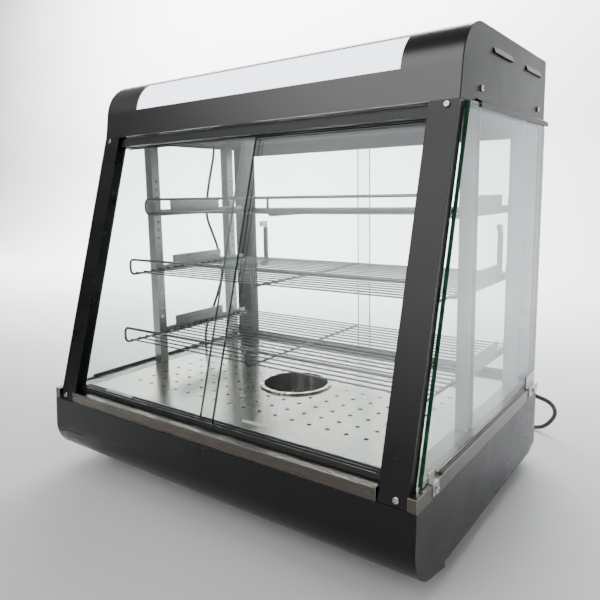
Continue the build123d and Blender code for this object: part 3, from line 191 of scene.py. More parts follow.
# ---------------------------------------------------------------- materials
def painted_black(name="painted_black", dust=0.005, rough=(0.24, 0.36), index=1.34, coat=0.0):
    """Smooth black powder coat: faint orange peel, wiped smudges, edges rubbed a little paler."""
    s = Shader(name)
    shader = s.principled(IOR=index, Coat_Weight=coat, Coat_Roughness=0.22)
    smudge = s.noise(8.0, detail=4.0, roughness=0.5)
    wiped = s.noise(1.0, detail=4.0, coords=s.stretched((4.0, 26.0, 26.0)))
    film = s.mix(0.5, smudge, wiped)
    normal, edge = s.edge_wear_and_highlight(0.0012)
    base = s.ramp(film, (0.35, 0.0022), (0.70, (dust, dust * 0.96, dust * 0.94)))
    rubbed = s.math("MULTIPLY", edge, s.ramp(s.noise(60.0, detail=4.0), (0.46, 0.0), (0.70, 0.30)))
    s.link(s.mix(rubbed, base, (0.035, 0.034, 0.034)), shader.inputs["Base Color"])
    s.link(s.ramp(film, (0.3, rough[0]), (0.7, rough[1])), shader.inputs["Roughness"])
    s.bump(shader, s.noise(900.0, detail=2.0), 0.12, 0.00012, normal)
    return s.material


def brushed(name, grain_scale, tone, rough, warmth=0.0, stain_scale=7.0):
    """Brushed stainless sheet; grain_scale is small along the brushing direction."""
    s = Shader(name)
    shader = s.principled(Metallic=1.0)
    grain = s.noise(1.0, detail=3.0, roughness=0.7, coords=s.stretched(grain_scale))
    stain = s.noise(stain_scale, detail=5.0, roughness=0.6, distortion=0.6)
    normal, edge = s.edge_wear_and_highlight(0.0009)
    dark = tuple(tone * v for v in (0.82 + warmth, 0.80, 0.78 - warmth))
    pale = tuple(tone * v for v in (1.02 + warmth, 1.0, 0.98 - warmth))
    cloud = s.ramp(stain, (0.30, dark), (0.68, pale))
    streak = s.ramp(grain, (0.3, 0.84), (0.7, 1.0))
    sheet = s.mix(1.0, cloud, streak, blend="MULTIPLY")
    # Painted highlight: bent edges are blended 60% towards pale grey 0.72, a bright line standing in for light
    # caught on the bend.
    s.link(s.mix(s.math("MULTIPLY", edge, 0.6), sheet, 0.72), shader.inputs["Base Color"])
    s.link(s.ramp(grain, (0.25, rough * 0.8), (0.75, rough * 1.25)), shader.inputs["Roughness"])
    s.bump(shader, grain, 0.16, 0.00005, normal)
    return s.material


def polished_steel():
    """Spun cup steel: near mirror, with painted reflections as dark and pale bands down its wall, and fine
    turning rings.
    """
    s = Shader("polished_steel")
    shader = s.principled(Metallic=1.0)
    lowest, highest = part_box("water_cup")
    around = s.node("ShaderNodeVectorMath", operation="SUBTRACT")
    s.link(s.coords, around.inputs[0])
    around.inputs[1].default_value = (lowest + highest) / 2
    level = s.node("ShaderNodeVectorMath", operation="MULTIPLY")
    s.link(around.outputs[0], level.inputs[0])
    level.inputs[1].default_value = (1.0, 1.0, 0.0)
    outward = s.node("ShaderNodeVectorMath", operation="NORMALIZE")
    s.link(level.outputs[0], outward.inputs[0])
    # Painted reflection: the base colour varies only round the cup, from near black to pale steel, standing in
    # for surroundings mirrored in its wall.
    streak = s.noise(7.0, detail=4.0, roughness=0.7, coords=outward.outputs[0])
    mark = s.noise(45.0, detail=4.0)
    tone = s.ramp(streak, (0.40, (0.10, 0.08, 0.07)), (0.52, (0.34, 0.30, 0.27)), (0.63, (0.82, 0.79, 0.75)))
    s.link(tone, shader.inputs["Base Color"])
    s.link(s.ramp(mark, (0.3, 0.08), (0.8, 0.18)), shader.inputs["Roughness"])
    ring = s.noise(1.0, detail=2.0, coords=s.stretched((20.0, 20.0, 900.0)))
    s.bump(shader, ring, 0.08, 0.00004)
    return s.material


def chrome(name, tone, rough):
    """Plated wire and screw heads, slightly clouded, dull where they are handled."""
    s = Shader(name)
    shader = s.principled(Metallic=1.0)
    cloud = s.noise(60.0, detail=4.0, roughness=0.6)
    dull, bright = tuple(tone * v for v in (0.72, 0.71, 0.70)), tuple(tone * v for v in (1.0, 0.99, 0.97))
    s.link(s.ramp(cloud, (0.35, dull), (0.65, bright)), shader.inputs["Base Color"])
    s.link(s.ramp(cloud, (0.3, rough), (0.8, rough * 1.9)), shader.inputs["Roughness"])
    s.bump(shader, s.noise(400.0), 0.08, 0.00005)
    return s.material


GLASS_INDEX = 1.5
HANDLE_END = 14 * MM


def clear_glass(name, haze, tint, edge_axis, edge_dark, edge_pale):
    """Thin float-glass pane: see-through faces under a dusty film, and green cut edges.

    edge_axis runs through the pane's thickness; faces that turn away from it are cut edges.
    """
    s = Shader(name)
    geometry = s.node("ShaderNodeNewGeometry")
    film = s.noise(14.0, detail=5.0, roughness=0.65, distortion=0.5)
    gloss = s.node("ShaderNodeBsdfGlossy")
    gloss.inputs["Color"].default_value = (0.95, 0.97, 1.0, 1.0)
    s.link(s.ramp(film, (0.35, 0.012), (0.85, 0.05)), gloss.inputs["Roughness"])
    clear = s.node("ShaderNodeBsdfTransparent")
    clear.inputs["Color"].default_value = (*tint, 1.0)
    index = s.node("ShaderNodeMapRange")
    index.inputs["To Min"].default_value = GLASS_INDEX
    index.inputs["To Max"].default_value = 1 / GLASS_INDEX
    s.link(geometry.outputs["Backfacing"], index.inputs["Value"])
    mirror = s.node("ShaderNodeFresnel")
    s.link(index.outputs[0], mirror.inputs["IOR"])
    pane = s.blend(mirror.outputs[0], clear.outputs[0], gloss.outputs[0])
    dust = s.node("ShaderNodeBsdfDiffuse")
    dust.inputs["Color"].default_value = (0.86, 0.88, 0.90, 1.0)
    dusty = s.blend(s.ramp(film, (0.3, haze * 0.5), (0.9, haze * 1.6)), pane, dust.outputs[0])
    cut = s.node("ShaderNodeBsdfPrincipled")
    cut.inputs["Roughness"].default_value = 0.15
    s.link(s.ramp(s.noise(90.0, detail=2.0), (0.3, edge_dark), (0.75, edge_pale)), cut.inputs["Base Color"])
    facing = s.node("ShaderNodeVectorMath", operation="DOT_PRODUCT")
    s.link(geometry.outputs["True Normal"], facing.inputs[0])
    facing.inputs[1].default_value = edge_axis
    is_edge = s.math("LESS_THAN", s.math("ABSOLUTE", facing.outputs["Value"]), 0.7)
    s.link(s.blend(is_edge, dusty, cut.outputs[0]), s.output.inputs["Surface"])
    return s.material


def plastic(name, dark, pale, rough, grain=600.0):
    """Moulded or extruded plastic with a fine surface grain."""
    s = Shader(name)
    shader = s.principled(IOR=1.46)
    cloud = s.noise(40.0, detail=4.0)
    normal, edge = s.edge_wear_and_highlight(0.0006)
    body = s.ramp(cloud, (0.3, dark), (0.75, pale))
    # Painted edge highlight and shade: bent edges are blended a quarter of the way towards grey 0.30, a paler rim
    # on dark plastic and a darker rim on pale plastic.
    s.link(s.mix(s.math("MULTIPLY", edge, 0.25), body, 0.30), shader.inputs["Base Color"])
    s.link(s.ramp(cloud, (0.3, rough), (0.8, rough * 1.35)), shader.inputs["Roughness"])
    s.bump(shader, s.noise(grain, detail=2.0), 0.12, 0.0001, normal)
    return s.material


def clear_plastic():
    """Clear moulded strip, faintly frosted."""
    s = Shader("clear_plastic")
    shader = s.principled(IOR=1.46, Transmission_Weight=0.4)
    frost = s.noise(200.0, detail=3.0)
    s.link(s.ramp(frost, (0.3, (0.72, 0.75, 0.75)), (0.8, (0.88, 0.90, 0.90))), shader.inputs["Base Color"])
    s.link(s.ramp(frost, (0.3, 0.12), (0.8, 0.3)), shader.inputs["Roughness"])
    return s.material


def opal_acrylic():
    """White light diffuser, lit softly from behind."""
    s = Shader("opal_acrylic")
    shader = s.principled(IOR=1.49, Emission_Strength=3.2)
    cloud = s.noise(5.0, detail=3.0)
    s.link(s.ramp(cloud, (0.3, (0.74, 0.78, 0.84)), (0.8, (0.82, 0.85, 0.90))), shader.inputs["Base Color"])
    s.link(s.ramp(s.noise(60.0), (0.3, 0.16), (0.8, 0.26)), shader.inputs["Roughness"])
    shader.inputs["Emission Color"].default_value = (0.80, 0.87, 1.0, 1.0)
    return s.material


def rubber(name, tone, rough):
    """Black rubber or a soft cable jacket."""
    s = Shader(name)
    shader = s.principled(IOR=1.5)
    bloom = s.noise(70.0, detail=4.0)
    s.link(s.ramp(bloom, (0.3, tone * 0.6), (0.8, tone * 1.6)), shader.inputs["Base Color"])
    s.link(s.ramp(bloom, (0.3, rough * 0.8), (0.8, rough * 1.2)), shader.inputs["Roughness"])
    s.bump(shader, s.noise(1200.0, detail=2.0), 0.2, 0.0001)
    return s.material


def moulded_plug():
    """Black moulded plug with nickel blades: metal from the blades' root forward."""
    s = Shader("moulded_plug")
    bloom = s.noise(70.0, detail=4.0)
    body = s.principled(IOR=1.5)
    s.link(s.ramp(bloom, (0.3, 0.010), (0.8, 0.026)), body.inputs["Base Color"])
    s.link(s.ramp(bloom, (0.3, 0.36), (0.8, 0.52)), body.inputs["Roughness"])
    blade = s.principled(Metallic=1.0)
    s.link(s.ramp(bloom, (0.3, (0.58, 0.55, 0.48)), (0.8, (0.76, 0.73, 0.66))), blade.inputs["Base Color"])
    s.link(s.ramp(bloom, (0.3, 0.16), (0.8, 0.30)), blade.inputs["Roughness"])
    along = s.node("ShaderNodeSeparateXYZ")
    s.link(s.coords, along.inputs[0])
    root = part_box("mains_plug")[0].y + PLUG_BLADE_LENGTH
    is_blade = s.math("LESS_THAN", along.outputs["Y"], root - 0.1 * MM)
    s.link(s.blend(is_blade, body.outputs[0], blade.outputs[0]), s.output.inputs["Surface"])
    return s.material


def sleeved_handle():
    """Plated bar whose grip, between its two ends, is sleeved in brown-grey plastic."""
    s = Shader("sleeved_handle")
    lowest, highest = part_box("rear_handle_left")
    scuff = s.noise(80.0, detail=4.0)
    plated = s.principled(Metallic=1.0, Roughness=0.16)
    s.link(s.ramp(scuff, (0.3, 0.52), (0.7, 0.74)), plated.inputs["Base Color"])
    sleeve = s.principled(IOR=1.45)
    brown = s.ramp(scuff, (0.3, (0.075, 0.062, 0.058)), (0.8, (0.12, 0.10, 0.092)))
    s.link(brown, sleeve.inputs["Base Color"])
    s.link(s.ramp(scuff, (0.3, 0.34), (0.8, 0.52)), sleeve.inputs["Roughness"])
    height = s.node("ShaderNodeSeparateXYZ")
    s.link(s.coords, height.inputs[0])
    middle = (lowest.z + highest.z) / 2
    off_middle = s.math("ABSOLUTE", s.math("SUBTRACT", height.outputs["Z"], middle))
    is_end = s.math("GREATER_THAN", off_middle, (highest.z - lowest.z) / 2 - HANDLE_END)
    s.link(s.blend(is_end, sleeve.outputs[0], plated.outputs[0]), s.output.inputs["Surface"])
    return s.material


def heat_tinted():
    """Element sheath, browned by heat."""
    s = Shader("heat_tinted")
    shader = s.principled(Metallic=1.0)
    tint = s.noise(25.0, detail=4.0)
    s.link(s.ramp(tint, (0.3, (0.16, 0.12, 0.10)), (0.7, (0.30, 0.24, 0.19))), shader.inputs["Base Color"])
    s.link(s.ramp(tint, (0.3, 0.35), (0.8, 0.55)), shader.inputs["Roughness"])
    return s.material


def printed(name, tone):
    """Screen-printed ink or dial card, slightly mottled."""
    s = Shader(name)
    shader = s.principled(IOR=1.45)
    mottle = s.noise(150.0, detail=3.0)
    s.link(s.ramp(mottle, (0.3, tuple(v * 0.85 for v in tone)), (0.8, tone)), shader.inputs["Base Color"])
    s.link(s.ramp(mottle, (0.3, 0.40), (0.8, 0.60)), shader.inputs["Roughness"])
    return s.material


def pale_floor():
    """Plain pale floor and wall."""
    s = Shader("pale_floor")
    shader = s.principled(IOR=1.35)
    cloud = s.noise(1.4, detail=6.0, roughness=0.55)
    s.link(s.ramp(cloud, (0.3, (0.74, 0.745, 0.75)), (0.7, (0.79, 0.795, 0.80))), shader.inputs["Base Color"])
    s.link(s.ramp(cloud, (0.3, 0.50), (0.7, 0.62)), shader.inputs["Roughness"])
    return s.material


def paint(material, *names):
    """Give CAD nodes a material in every slot."""
    for name in names:
        piece = nodes[name]
        if not piece.material_slots:
            piece.data.materials.append(material)
        for slot in piece.material_slots:
            slot.material = material


# ---------------------------------------------------------------- mesh tools
def mesh_piece(name, corners, faces, material, body, slot, smooth=True):
    """A finished mesh that rides on a body."""
    mesh = bpy.data.meshes.new(name)
    mesh.from_pydata([tuple(c) for c in corners], [], faces)
    mesh.validate()
    mesh.update()
    for face in mesh.polygons:
        face.use_smooth = smooth
    mesh.materials.append(material)
    piece = bpy.data.objects.new(name, mesh)
    scene.collection.objects.link(piece)
    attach(piece, body)
    return piece


def turned(name, profile, centre, material, body, slot, segments=48):
    """Closed ring turned about the Y axis through centre, from (radius, y) corners."""
    corners = []
    for step in range(segments):
        angle = 2 * pi * step / segments
        for radius, y in profile:
            corners.append((centre.x + radius * cos(angle), y, centre.z + radius * sin(angle)))
    count = len(profile)
    faces = []
    for step in range(segments):
        here, there = step * count, (step + 1) % segments * count
        for index in range(count):
            after = (index + 1) % count
            faces.append((here + index, there + index, there + after, here + after))
    return mesh_piece(name, corners, faces, material, body, slot)


def bars(outlines, low, high):
    """Corners and faces of flat bars: each outline is (x, z) corners, raised from low to high in Y."""
    corners, faces = [], []
    for outline in outlines:
        start, count = len(corners), len(outline)
        corners += [(x, y, z) for y in (low, high) for x, z in outline]
        faces.append(tuple(range(start, start + count)))
        faces.append(tuple(range(start + 2 * count - 1, start + count - 1, -1)))
        for index in range(count):
            after = (index + 1) % count
            faces.append((start + after, start + index, start + count + index, start + count + after))
    return corners, faces


def radial_tick(centre, angle, inner, outer, width):
    """(x, z) corners of a tick that points away from a centre."""
    out = Vector((cos(angle), sin(angle)))
    side = Vector((-out.y, out.x)) * width / 2
    middle = Vector((centre.x, centre.z))
    near, far = middle + out * inner, middle + out * outer
    return [tuple(near - side), tuple(far - side), tuple(far + side), tuple(near + side)]


# ---------------------------------------------------------------- power cord
CORD_DIAMETER = 7.5 * MM
CORD_RADIUS = CORD_DIAMETER / 2
PLUG_BLADE_LENGTH = 16.5 * MM
COIL_LAYERS = 3
COIL_TURNS = 5.25
POINTS_PER_TURN = 16
TIE_SHEET = 0.8 * MM
TIE_WIDTH = 10 * MM
TIE_ANGLE = radians(-35)
TIE_BEND_STEPS = 6
TIE_SLACK = 0.05 * MM
GLAND_RIBS = 5
GLAND_RIB_WIDTH = 1.7 * MM
GLAND_RIB_DEPTH = 1.6 * MM
GLAND_RIB_START = 5.0 * MM
GLAND_ROOT_RADIUS = 8.6 * MM
GLAND_TAPER = 3.0 * MM
# X, distance behind the rear panel and rise over the deck of each point, in millimetres.
CORD_ROUTE = (
    (300.0, 23.9, -36.0),
    (300.0, 41.9, -40.0),
    (307.0, 63.4, -52.0),
    (333.5, 82.9, -66.5),
    (338.0, 104.4, -97.5),
    (307.5, 118.4, -136.25),
    (260.0, 138.9, -136.25),
    (214.0, 163.9, -136.25),
    (178.0, 172.65, -136.25),
)


def behind_panel(point):
    """Row-frame place of a point of the cord's route."""
    x, behind, rise = point
    return Vector((x * MM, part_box("base_rear_panel")[1].y + behind * MM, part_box("top_deck")[1].z + rise * MM))


def coil_middle():
    """Centre of the coil on the floor, and the radius of the middle of its turns."""
    lowest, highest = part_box("cord_coil")
    centre = (lowest + highest) / 2
    return Vector((centre.x, centre.y, 0)), (highest.x - lowest.x) / 2 - CORD_DIAMETER


def coil_points():
    """Control points of the wound turns, two columns wide and three layers high."""
    centre, middle = coil_middle()
    outer, inner = middle + CORD_RADIUS, middle - CORD_RADIUS
    layers = [TIE_SHEET + CORD_RADIUS + index * CORD_DIAMETER for index in range(COIL_LAYERS)]
    turns = [(outer, layers[0]), (inner, layers[0]), (inner, layers[1])]
    turns += [(inner, layers[2]), (outer, layers[2]), (outer, layers[1])]
    points = []
    for index in range(1, int(COIL_TURNS * POINTS_PER_TURN) + 1):
        turn = index / POINTS_PER_TURN
        here = turns[min(int(turn), len(turns) - 1)]
        after = turns[min(int(turn) + 1, len(turns) - 1)]
        share = max(0.0, (turn - int(turn) - 0.75) * 4)
        radius = (here[0] * (1 - share) + after[0] * share) / cos(pi / POINTS_PER_TURN)
        height = here[1] * (1 - share) + after[1] * share
        angle = pi / 2 + 2 * pi * turn
        points.append(Vector((centre.x + radius * cos(angle), centre.y + radius * sin(angle), height)))
    return points


def make_tie(material):
    """Strap round the coil's turns: a closed band with a lapped end on top."""
    centre, middle = coil_middle()
    out = Vector((cos(TIE_ANGLE), sin(TIE_ANGLE), 0))
    side = Vector((-out.y, out.x, 0)) * TIE_WIDTH / 2
    mid_height = TIE_SHEET + COIL_LAYERS * CORD_RADIUS
    half_wide, half_high = 2 * CORD_RADIUS, COIL_LAYERS * CORD_RADIUS
    bend, steps = CORD_RADIUS, TIE_BEND_STEPS
    quarters = ((1, 1, 0), (-1, 1, pi / 2), (-1, -1, pi), (1, -1, 3 * pi / 2))
    corners = []
    for right, above, start in quarters:
        for step in range(steps + 1):
            angle = start + step / steps * pi / 2
            for proud in (TIE_SLACK, TIE_SHEET):
                wide = right * (half_wide - bend) + (bend + proud) * cos(angle)
                high = above * (half_high - bend) + (bend + proud) * sin(angle)
                place = centre + out * (middle + wide) + Vector((0, 0, mid_height + high))
                corners += [place - side, place + side]
    faces = []
    rings = len(corners) // 4
    for ring in range(rings):
        a, b = 4 * ring, 4 * ((ring + 1) % rings)
        faces += [(a, a + 1, b + 1, b), (a + 2, b + 2, b + 3, a + 3)]
        faces += [(a, b, b + 2, a + 2), (a + 1, a + 3, b + 3, b + 1)]
    top = centre + out * middle + Vector((0, 0, mid_height + half_high + TIE_SHEET))
    lap = Vector((0, 0, TIE_SHEET))
    start = len(corners)
    for height in (Vector(), lap):
        for reach in (-0.5 * CORD_DIAMETER, 0.75 * CORD_DIAMETER):
            for edge in (-0.9, 0.9):
                corners.append(top + out * reach + side * edge + height)
    faces += [(start, start + 2, start + 3, start + 1), (start + 4, start + 5, start + 7, start + 6)]
    faces += [(start, start + 1, start + 5, start + 4), (start + 2, start + 6, start + 7, start + 3)]
    faces += [(start, start + 4, start + 6, start + 2), (start + 1, start + 3, start + 7, start + 5)]
    return mesh_piece("coil_tie", corners, faces, material, "case", "black_rubber", smooth=False)


def make_gland_ribs(material):
    """Moulded ribs along the strain relief's taper."""
    lowest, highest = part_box("cord_gland")
    centre = (lowest + highest) / 2
    tip, root = highest.y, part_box("base_rear_panel")[1].y + GLAND_RIB_START
    for index in range(GLAND_RIBS):
        share = index / GLAND_RIBS
        low = root + (tip - root) * share
        high = low + GLAND_RIB_WIDTH
        radius = GLAND_ROOT_RADIUS - GLAND_TAPER * share
        inner = radius - GLAND_RIB_DEPTH
        profile = [(inner, low), (radius, low), (radius, high), (inner, high)]
        turned(f"gland_rib_{index + 1}", profile, centre, material, "case", "black_rubber", 32)


def make_cord(jacket):
    """Mains cord from the gland, round the corner and into its put-away coil."""
    plug_low, plug_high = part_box("mains_plug")
    neck = Vector(((plug_low.x + plug_high.x) / 2, plug_high.y - 4 * MM, (plug_low.z + plug_high.z) / 2))
    points = [behind_panel(p) for p in CORD_ROUTE] + coil_points()
    points += [neck + Vector((0, 8 * MM, 0)), neck]
    data = bpy.data.curves.new("mains_cord", "CURVE")
    data.dimensions = "3D"
    data.bevel_depth = CORD_RADIUS
    data.bevel_resolution = 6
    data.resolution_u = 8
    data.use_fill_caps = True
    spline = data.splines.new("NURBS")
    spline.points.add(len(points) - 1)
    for place, point in zip(spline.points, points):
        place.co = (*point, 1.0)
    spline.order_u = 3
    spline.use_endpoint_u = True
    cord = bpy.data.objects.new("mains_cord", data)
    scene.collection.objects.link(cord)
    data.materials.append(jacket)
    tie = make_tie(rubber("hook_tape", 0.03, 0.75))
    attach(cord, "case")
    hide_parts("power_cord", "cord_coil")


# ---------------------------------------------------------------- dials and switch marks
GAUGE_TICKS = 31
GAUGE_SWEEP = radians(270)
GAUGE_NUMBERS = ("0", "30", "60", "90", "120", "150")
GAUGE_TICKS_PER_NUMBER = 6
GAUGE_WELL = 2.4 * MM
GAUGE_CARD = 0.3 * MM
GAUGE_CENTRE_HOLE = 0.1 * MM
NEEDLE_ANGLE = pi * 1.22
KNOB_TICKS = 11
KNOB_TICK_STEP = radians(27)
KNOB_NUMBERS = ((0, "0"), (5, "60"), (10, "120"))
MARK_RAISE = 0.5 * MM
RING_STEPS = 20
RING_RADIUS = 2.1 * MM


def number_piece(name, text, place, size, material, body):
    """A printed number that faces the rear."""
    data = bpy.data.curves.new(name, "FONT")
    data.body = text
    data.size = size
    data.align_x = "CENTER"
    data.align_y = "CENTER"
    data.extrude = 0.05 * MM
    data.materials.append(material)
    piece = bpy.data.objects.new(name, data)
    upright = Matrix.Rotation(pi / 2, 4, "X")
    facing_rear = Matrix.Rotation(pi, 4, "Z")
    piece.matrix_world = Matrix.Translation(place) @ facing_rear @ upright
    scene.collection.objects.link(piece)
    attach(piece, body)


def make_gauge():
    """Face, ticks, numbers, needle and lens of the temperature gauge."""
    lowest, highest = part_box("temperature_gauge")
    centre = Vector(((lowest.x + highest.x) / 2, highest.y, (lowest.z + highest.z) / 2))
    radius = (highest.x - lowest.x) / 2
    well = highest.y - GAUGE_WELL
    card_top = well + GAUGE_CARD
    card, ink = printed("dial_card", (0.80, 0.80, 0.77)), printed("dial_ink", (0.012, 0.012, 0.013))
    face_inner, face_outer = 0.2 * MM, radius * 0.88
    face = [(face_inner, well), (face_outer, well), (face_outer, card_top), (face_inner, card_top)]
    turned("gauge_face", face, centre, card, "case", "white_plastic")
    ticks = []
    for index in range(GAUGE_TICKS):
        angle = 1.5 * pi - (2 * pi - GAUGE_SWEEP) / 2 - GAUGE_SWEEP * index / (GAUGE_TICKS - 1)
        major = index % GAUGE_TICKS_PER_NUMBER == 0
        inner = radius * (0.68 if major else 0.75)
        ticks.append(radial_tick(centre, pi - angle, inner, radius * 0.84, (0.7 if major else 0.35) * MM))
        if major:
            text = GAUGE_NUMBERS[index // GAUGE_TICKS_PER_NUMBER]
            spot = centre + Vector((cos(pi - angle), 0, sin(pi - angle))) * radius * 0.54
            spot.y = well + 0.35 * MM
            number_piece(f"gauge_number_{text}", text, spot, 4.2 * MM, ink, "case")
    printed_ticks = bars(ticks, card_top, well + 0.4 * MM)
    mesh_piece("gauge_ticks", *printed_ticks, ink, "case", "black_plastic", False)
    pointer = [radial_tick(centre, NEEDLE_ANGLE, -radius * 0.2, radius * 0.7, 0.9 * MM)]
    needle = bars(pointer, well + 0.8 * MM, well + 1.1 * MM)
    red = printed("needle_red", (0.45, 0.02, 0.015))
    mesh_piece("gauge_needle", *needle, red, "case", "rocker_plastic", False)
    hub = [(GAUGE_CENTRE_HOLE, card_top), (2.2 * MM, card_top)]
    hub += [(1.8 * MM, well + 1.5 * MM), (GAUGE_CENTRE_HOLE, well + 1.7 * MM)]
    turned("gauge_hub", hub, centre, ink, "case", "black_plastic", 24)
    lens_rim = highest.y - 0.5 * MM
    lens_low, lens_radius = lens_rim - 0.4 * MM, radius * 0.89
    lens = [(GAUGE_CENTRE_HOLE, lens_low), (lens_radius, lens_low), (lens_radius, lens_rim)]
    lens += [(radius * 0.5, lens_rim + 0.35 * MM), (GAUGE_CENTRE_HOLE, lens_rim + 0.45 * MM)]
    edge = ((0.6, 0.62, 0.62), (0.7, 0.72, 0.72))
    cover = clear_glass("gauge_lens_glass", 0.02, (0.97, 0.98, 0.98), (0, 1, 0), *edge)
    turned("gauge_lens", lens, centre, cover, "case", "clear_glass")


def make_knob_scale():
    """White tick scale printed on the rear panel round the thermostat's knob."""
    lowest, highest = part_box("thermostat_knob")
    centre = (lowest + highest) / 2
    radius = (highest.x - lowest.x) / 2
    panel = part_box("base_rear_panel")[1].y
    white = printed("panel_print", (0.72, 0.72, 0.70))
    ticks = []
    for index in range(KNOB_TICKS):
        angle = pi / 2 + KNOB_TICK_STEP * index
        length = (3.4 if index % 5 == 0 else 2.2) * MM
        ticks.append(radial_tick(centre, angle, radius + 2 * MM, radius + 2 * MM + length, 0.8 * MM))
    mesh_piece("knob_scale", *bars(ticks, panel, panel + 0.08 * MM), white, "case", "white_plastic", False)
    for index, text in KNOB_NUMBERS:
        angle = pi / 2 + KNOB_TICK_STEP * index
        spot = centre + Vector((cos(angle), 0, sin(angle))) * (radius + 9.5 * MM)
        spot.y = panel + 0.05 * MM
        number_piece(f"knob_number_{text}", text, spot, 4.5 * MM, white, "case")


def make_rocker_marks():
    """Raised bar and ring, for on and off, on each rocker's two halves."""
    white = printed("rocker_print", (0.75, 0.75, 0.73))
    for name in ("power", "light"):
        lowest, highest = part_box(f"{name}_switch_rocker")
        centre = (lowest + highest) / 2
        vertices = [v.co for v in nodes[f"{name}_switch_rocker"].data.vertices]
        top = max((v for v in vertices if v.z > centre.z), key=lambda v: v.y)
        low = max((v for v in vertices if v.z < centre.z - 0.6 * (highest.z - centre.z)), key=lambda v: v.y)
        waist = (top.z + low.z) / 2
        for kind, tip in (("on", top), ("off", low)):
            middle = Vector((centre.x, tip.y - 0.35 * MM, waist + (tip.z - waist) * 0.6))
            marks = []
            if kind == "on":
                marks.append(radial_tick(middle, pi / 2, -2.4 * MM, 2.4 * MM, 0.8 * MM))
            else:
                for step in range(RING_STEPS):
                    angle = 2 * pi * step / RING_STEPS
                    spot = middle + Vector((cos(angle), 0, sin(angle))) * RING_RADIUS
                    marks.append(radial_tick(spot, angle + pi / 2, -0.4 * MM, 0.4 * MM, 0.7 * MM))
            corners, faces = bars(marks, 0.0, MARK_RAISE)
            placed = [(x, middle.y + y, z) for x, y, z in corners]
            mesh_piece(
                f"{name}_rocker_{kind}_mark", placed, faces, white, f"{name}_rocker", "white_plastic", False
            )


# ---------------------------------------------------------------- stage
WALL_Y = 2.5
SWEEP = 0.8
SWEEP_STEPS = 16
FLOOR_FRONT = -3.0
WALL_HEIGHT = 4.0
STAGE_HALF_WIDTH = 6.0


def make_stage():
    """Pale floor that sweeps up into a pale wall behind."""
    profile = [(FLOOR_FRONT, 0.0), (WALL_Y - SWEEP, 0.0)]
    for step in range(1, SWEEP_STEPS + 1):
        angle = step / SWEEP_STEPS * pi / 2
        profile.append((WALL_Y - SWEEP + SWEEP * sin(angle), SWEEP * (1 - cos(angle))))
    profile.append((WALL_Y, WALL_HEIGHT))
    corners = [(x, y, z) for y, z in profile for x in (-STAGE_HALF_WIDTH, STAGE_HALF_WIDTH)]
    faces = [(2 * i, 2 * i + 1, 2 * i + 3, 2 * i + 2) for i in range(len(profile) - 1)]
    mesh = bpy.data.meshes.new("backdrop")
    mesh.from_pydata(corners, [], faces)
    for face in mesh.polygons:
        face.use_smooth = True
    backdrop = bpy.data.objects.new("backdrop", mesh)
    scene.collection.objects.link(backdrop)
    mesh.materials.append(pale_floor())


def area_light(name, place, target, size, power, colour=(1, 1, 1), spread=180):
    """Soft rectangular light aimed at a point; it lights but isn't mirrored."""
    data = bpy.data.lights.new(name, "AREA")
    data.shape = "RECTANGLE"
    data.size, data.size_y = size
    data.energy = power
    data.color = colour
    data.spread = radians(spread)
    light = bpy.data.objects.new(name, data)
    light.location = place
    light.rotation_euler = (Vector(target) - Vector(place)).to_track_quat("-Z", "Y").to_euler()
    light.visible_glossy = False
    scene.collection.objects.link(light)


SOFTBOX_AZIMUTH = 20.0  # from straight in front of the case towards its left side
SOFTBOX_ELEVATION = 36.0
SOFTBOX_REACH = (6.0, 36.0)  # full strength within the first angle, none past the second
SOFTBOX_STRENGTH = 3.0
SURROUND_STOPS = ((0.0, 0.07), (0.25, 0.16), (0.62, 0.34), (0.9, 0.16))


def make_world():
    """Soft surround: dim near the horizon and overhead, paler between, one wide soft source in front."""
    world = bpy.data.worlds.new("studio")
    scene.world = world
    world.use_nodes = True
    tree = world.node_tree
    direction = tree.nodes.new("ShaderNodeTexCoord").outputs["Generated"]
    split = tree.nodes.new("ShaderNodeSeparateXYZ")
    tree.links.new(direction, split.inputs[0])
    height = tree.nodes.new("ShaderNodeValToRGB")
    height.color_ramp.interpolation = "EASE"
    while len(height.color_ramp.elements) < len(SURROUND_STOPS):
        height.color_ramp.elements.new(1.0)
    for element, (place, value) in zip(height.color_ramp.elements, SURROUND_STOPS):
        element.position = place
        element.color = (value * 0.97, value * 0.985, value, 1.0)
    tree.links.new(split.outputs["Z"], height.inputs[0])
    azimuth, elevation = radians(SOFTBOX_AZIMUTH), radians(SOFTBOX_ELEVATION)
    towards = Vector((-sin(azimuth) * cos(elevation), -cos(azimuth) * cos(elevation), sin(elevation)))
    facing = tree.nodes.new("ShaderNodeVectorMath")
    facing.operation = "DOT_PRODUCT"
    facing.inputs[1].default_value = towards
    tree.links.new(direction, facing.inputs[0])
    glow = tree.nodes.new("ShaderNodeMapRange")
    glow.interpolation_type = "SMOOTHERSTEP"
    glow.inputs["From Min"].default_value = cos(radians(SOFTBOX_REACH[1]))
    glow.inputs["From Max"].default_value = cos(radians(SOFTBOX_REACH[0]))
    glow.inputs["To Max"].default_value = SOFTBOX_STRENGTH
    tree.links.new(facing.outputs["Value"], glow.inputs["Value"])
    total = tree.nodes.new("ShaderNodeMix")
    total.data_type = "RGBA"
    total.blend_type = "ADD"
    total.inputs[0].default_value = 1.0
    tree.links.new(height.outputs[0], total.inputs[6])
    tree.links.new(glow.outputs[0], total.inputs[7])
    tree.links.new(total.outputs[2], tree.nodes["Background"].inputs[0])


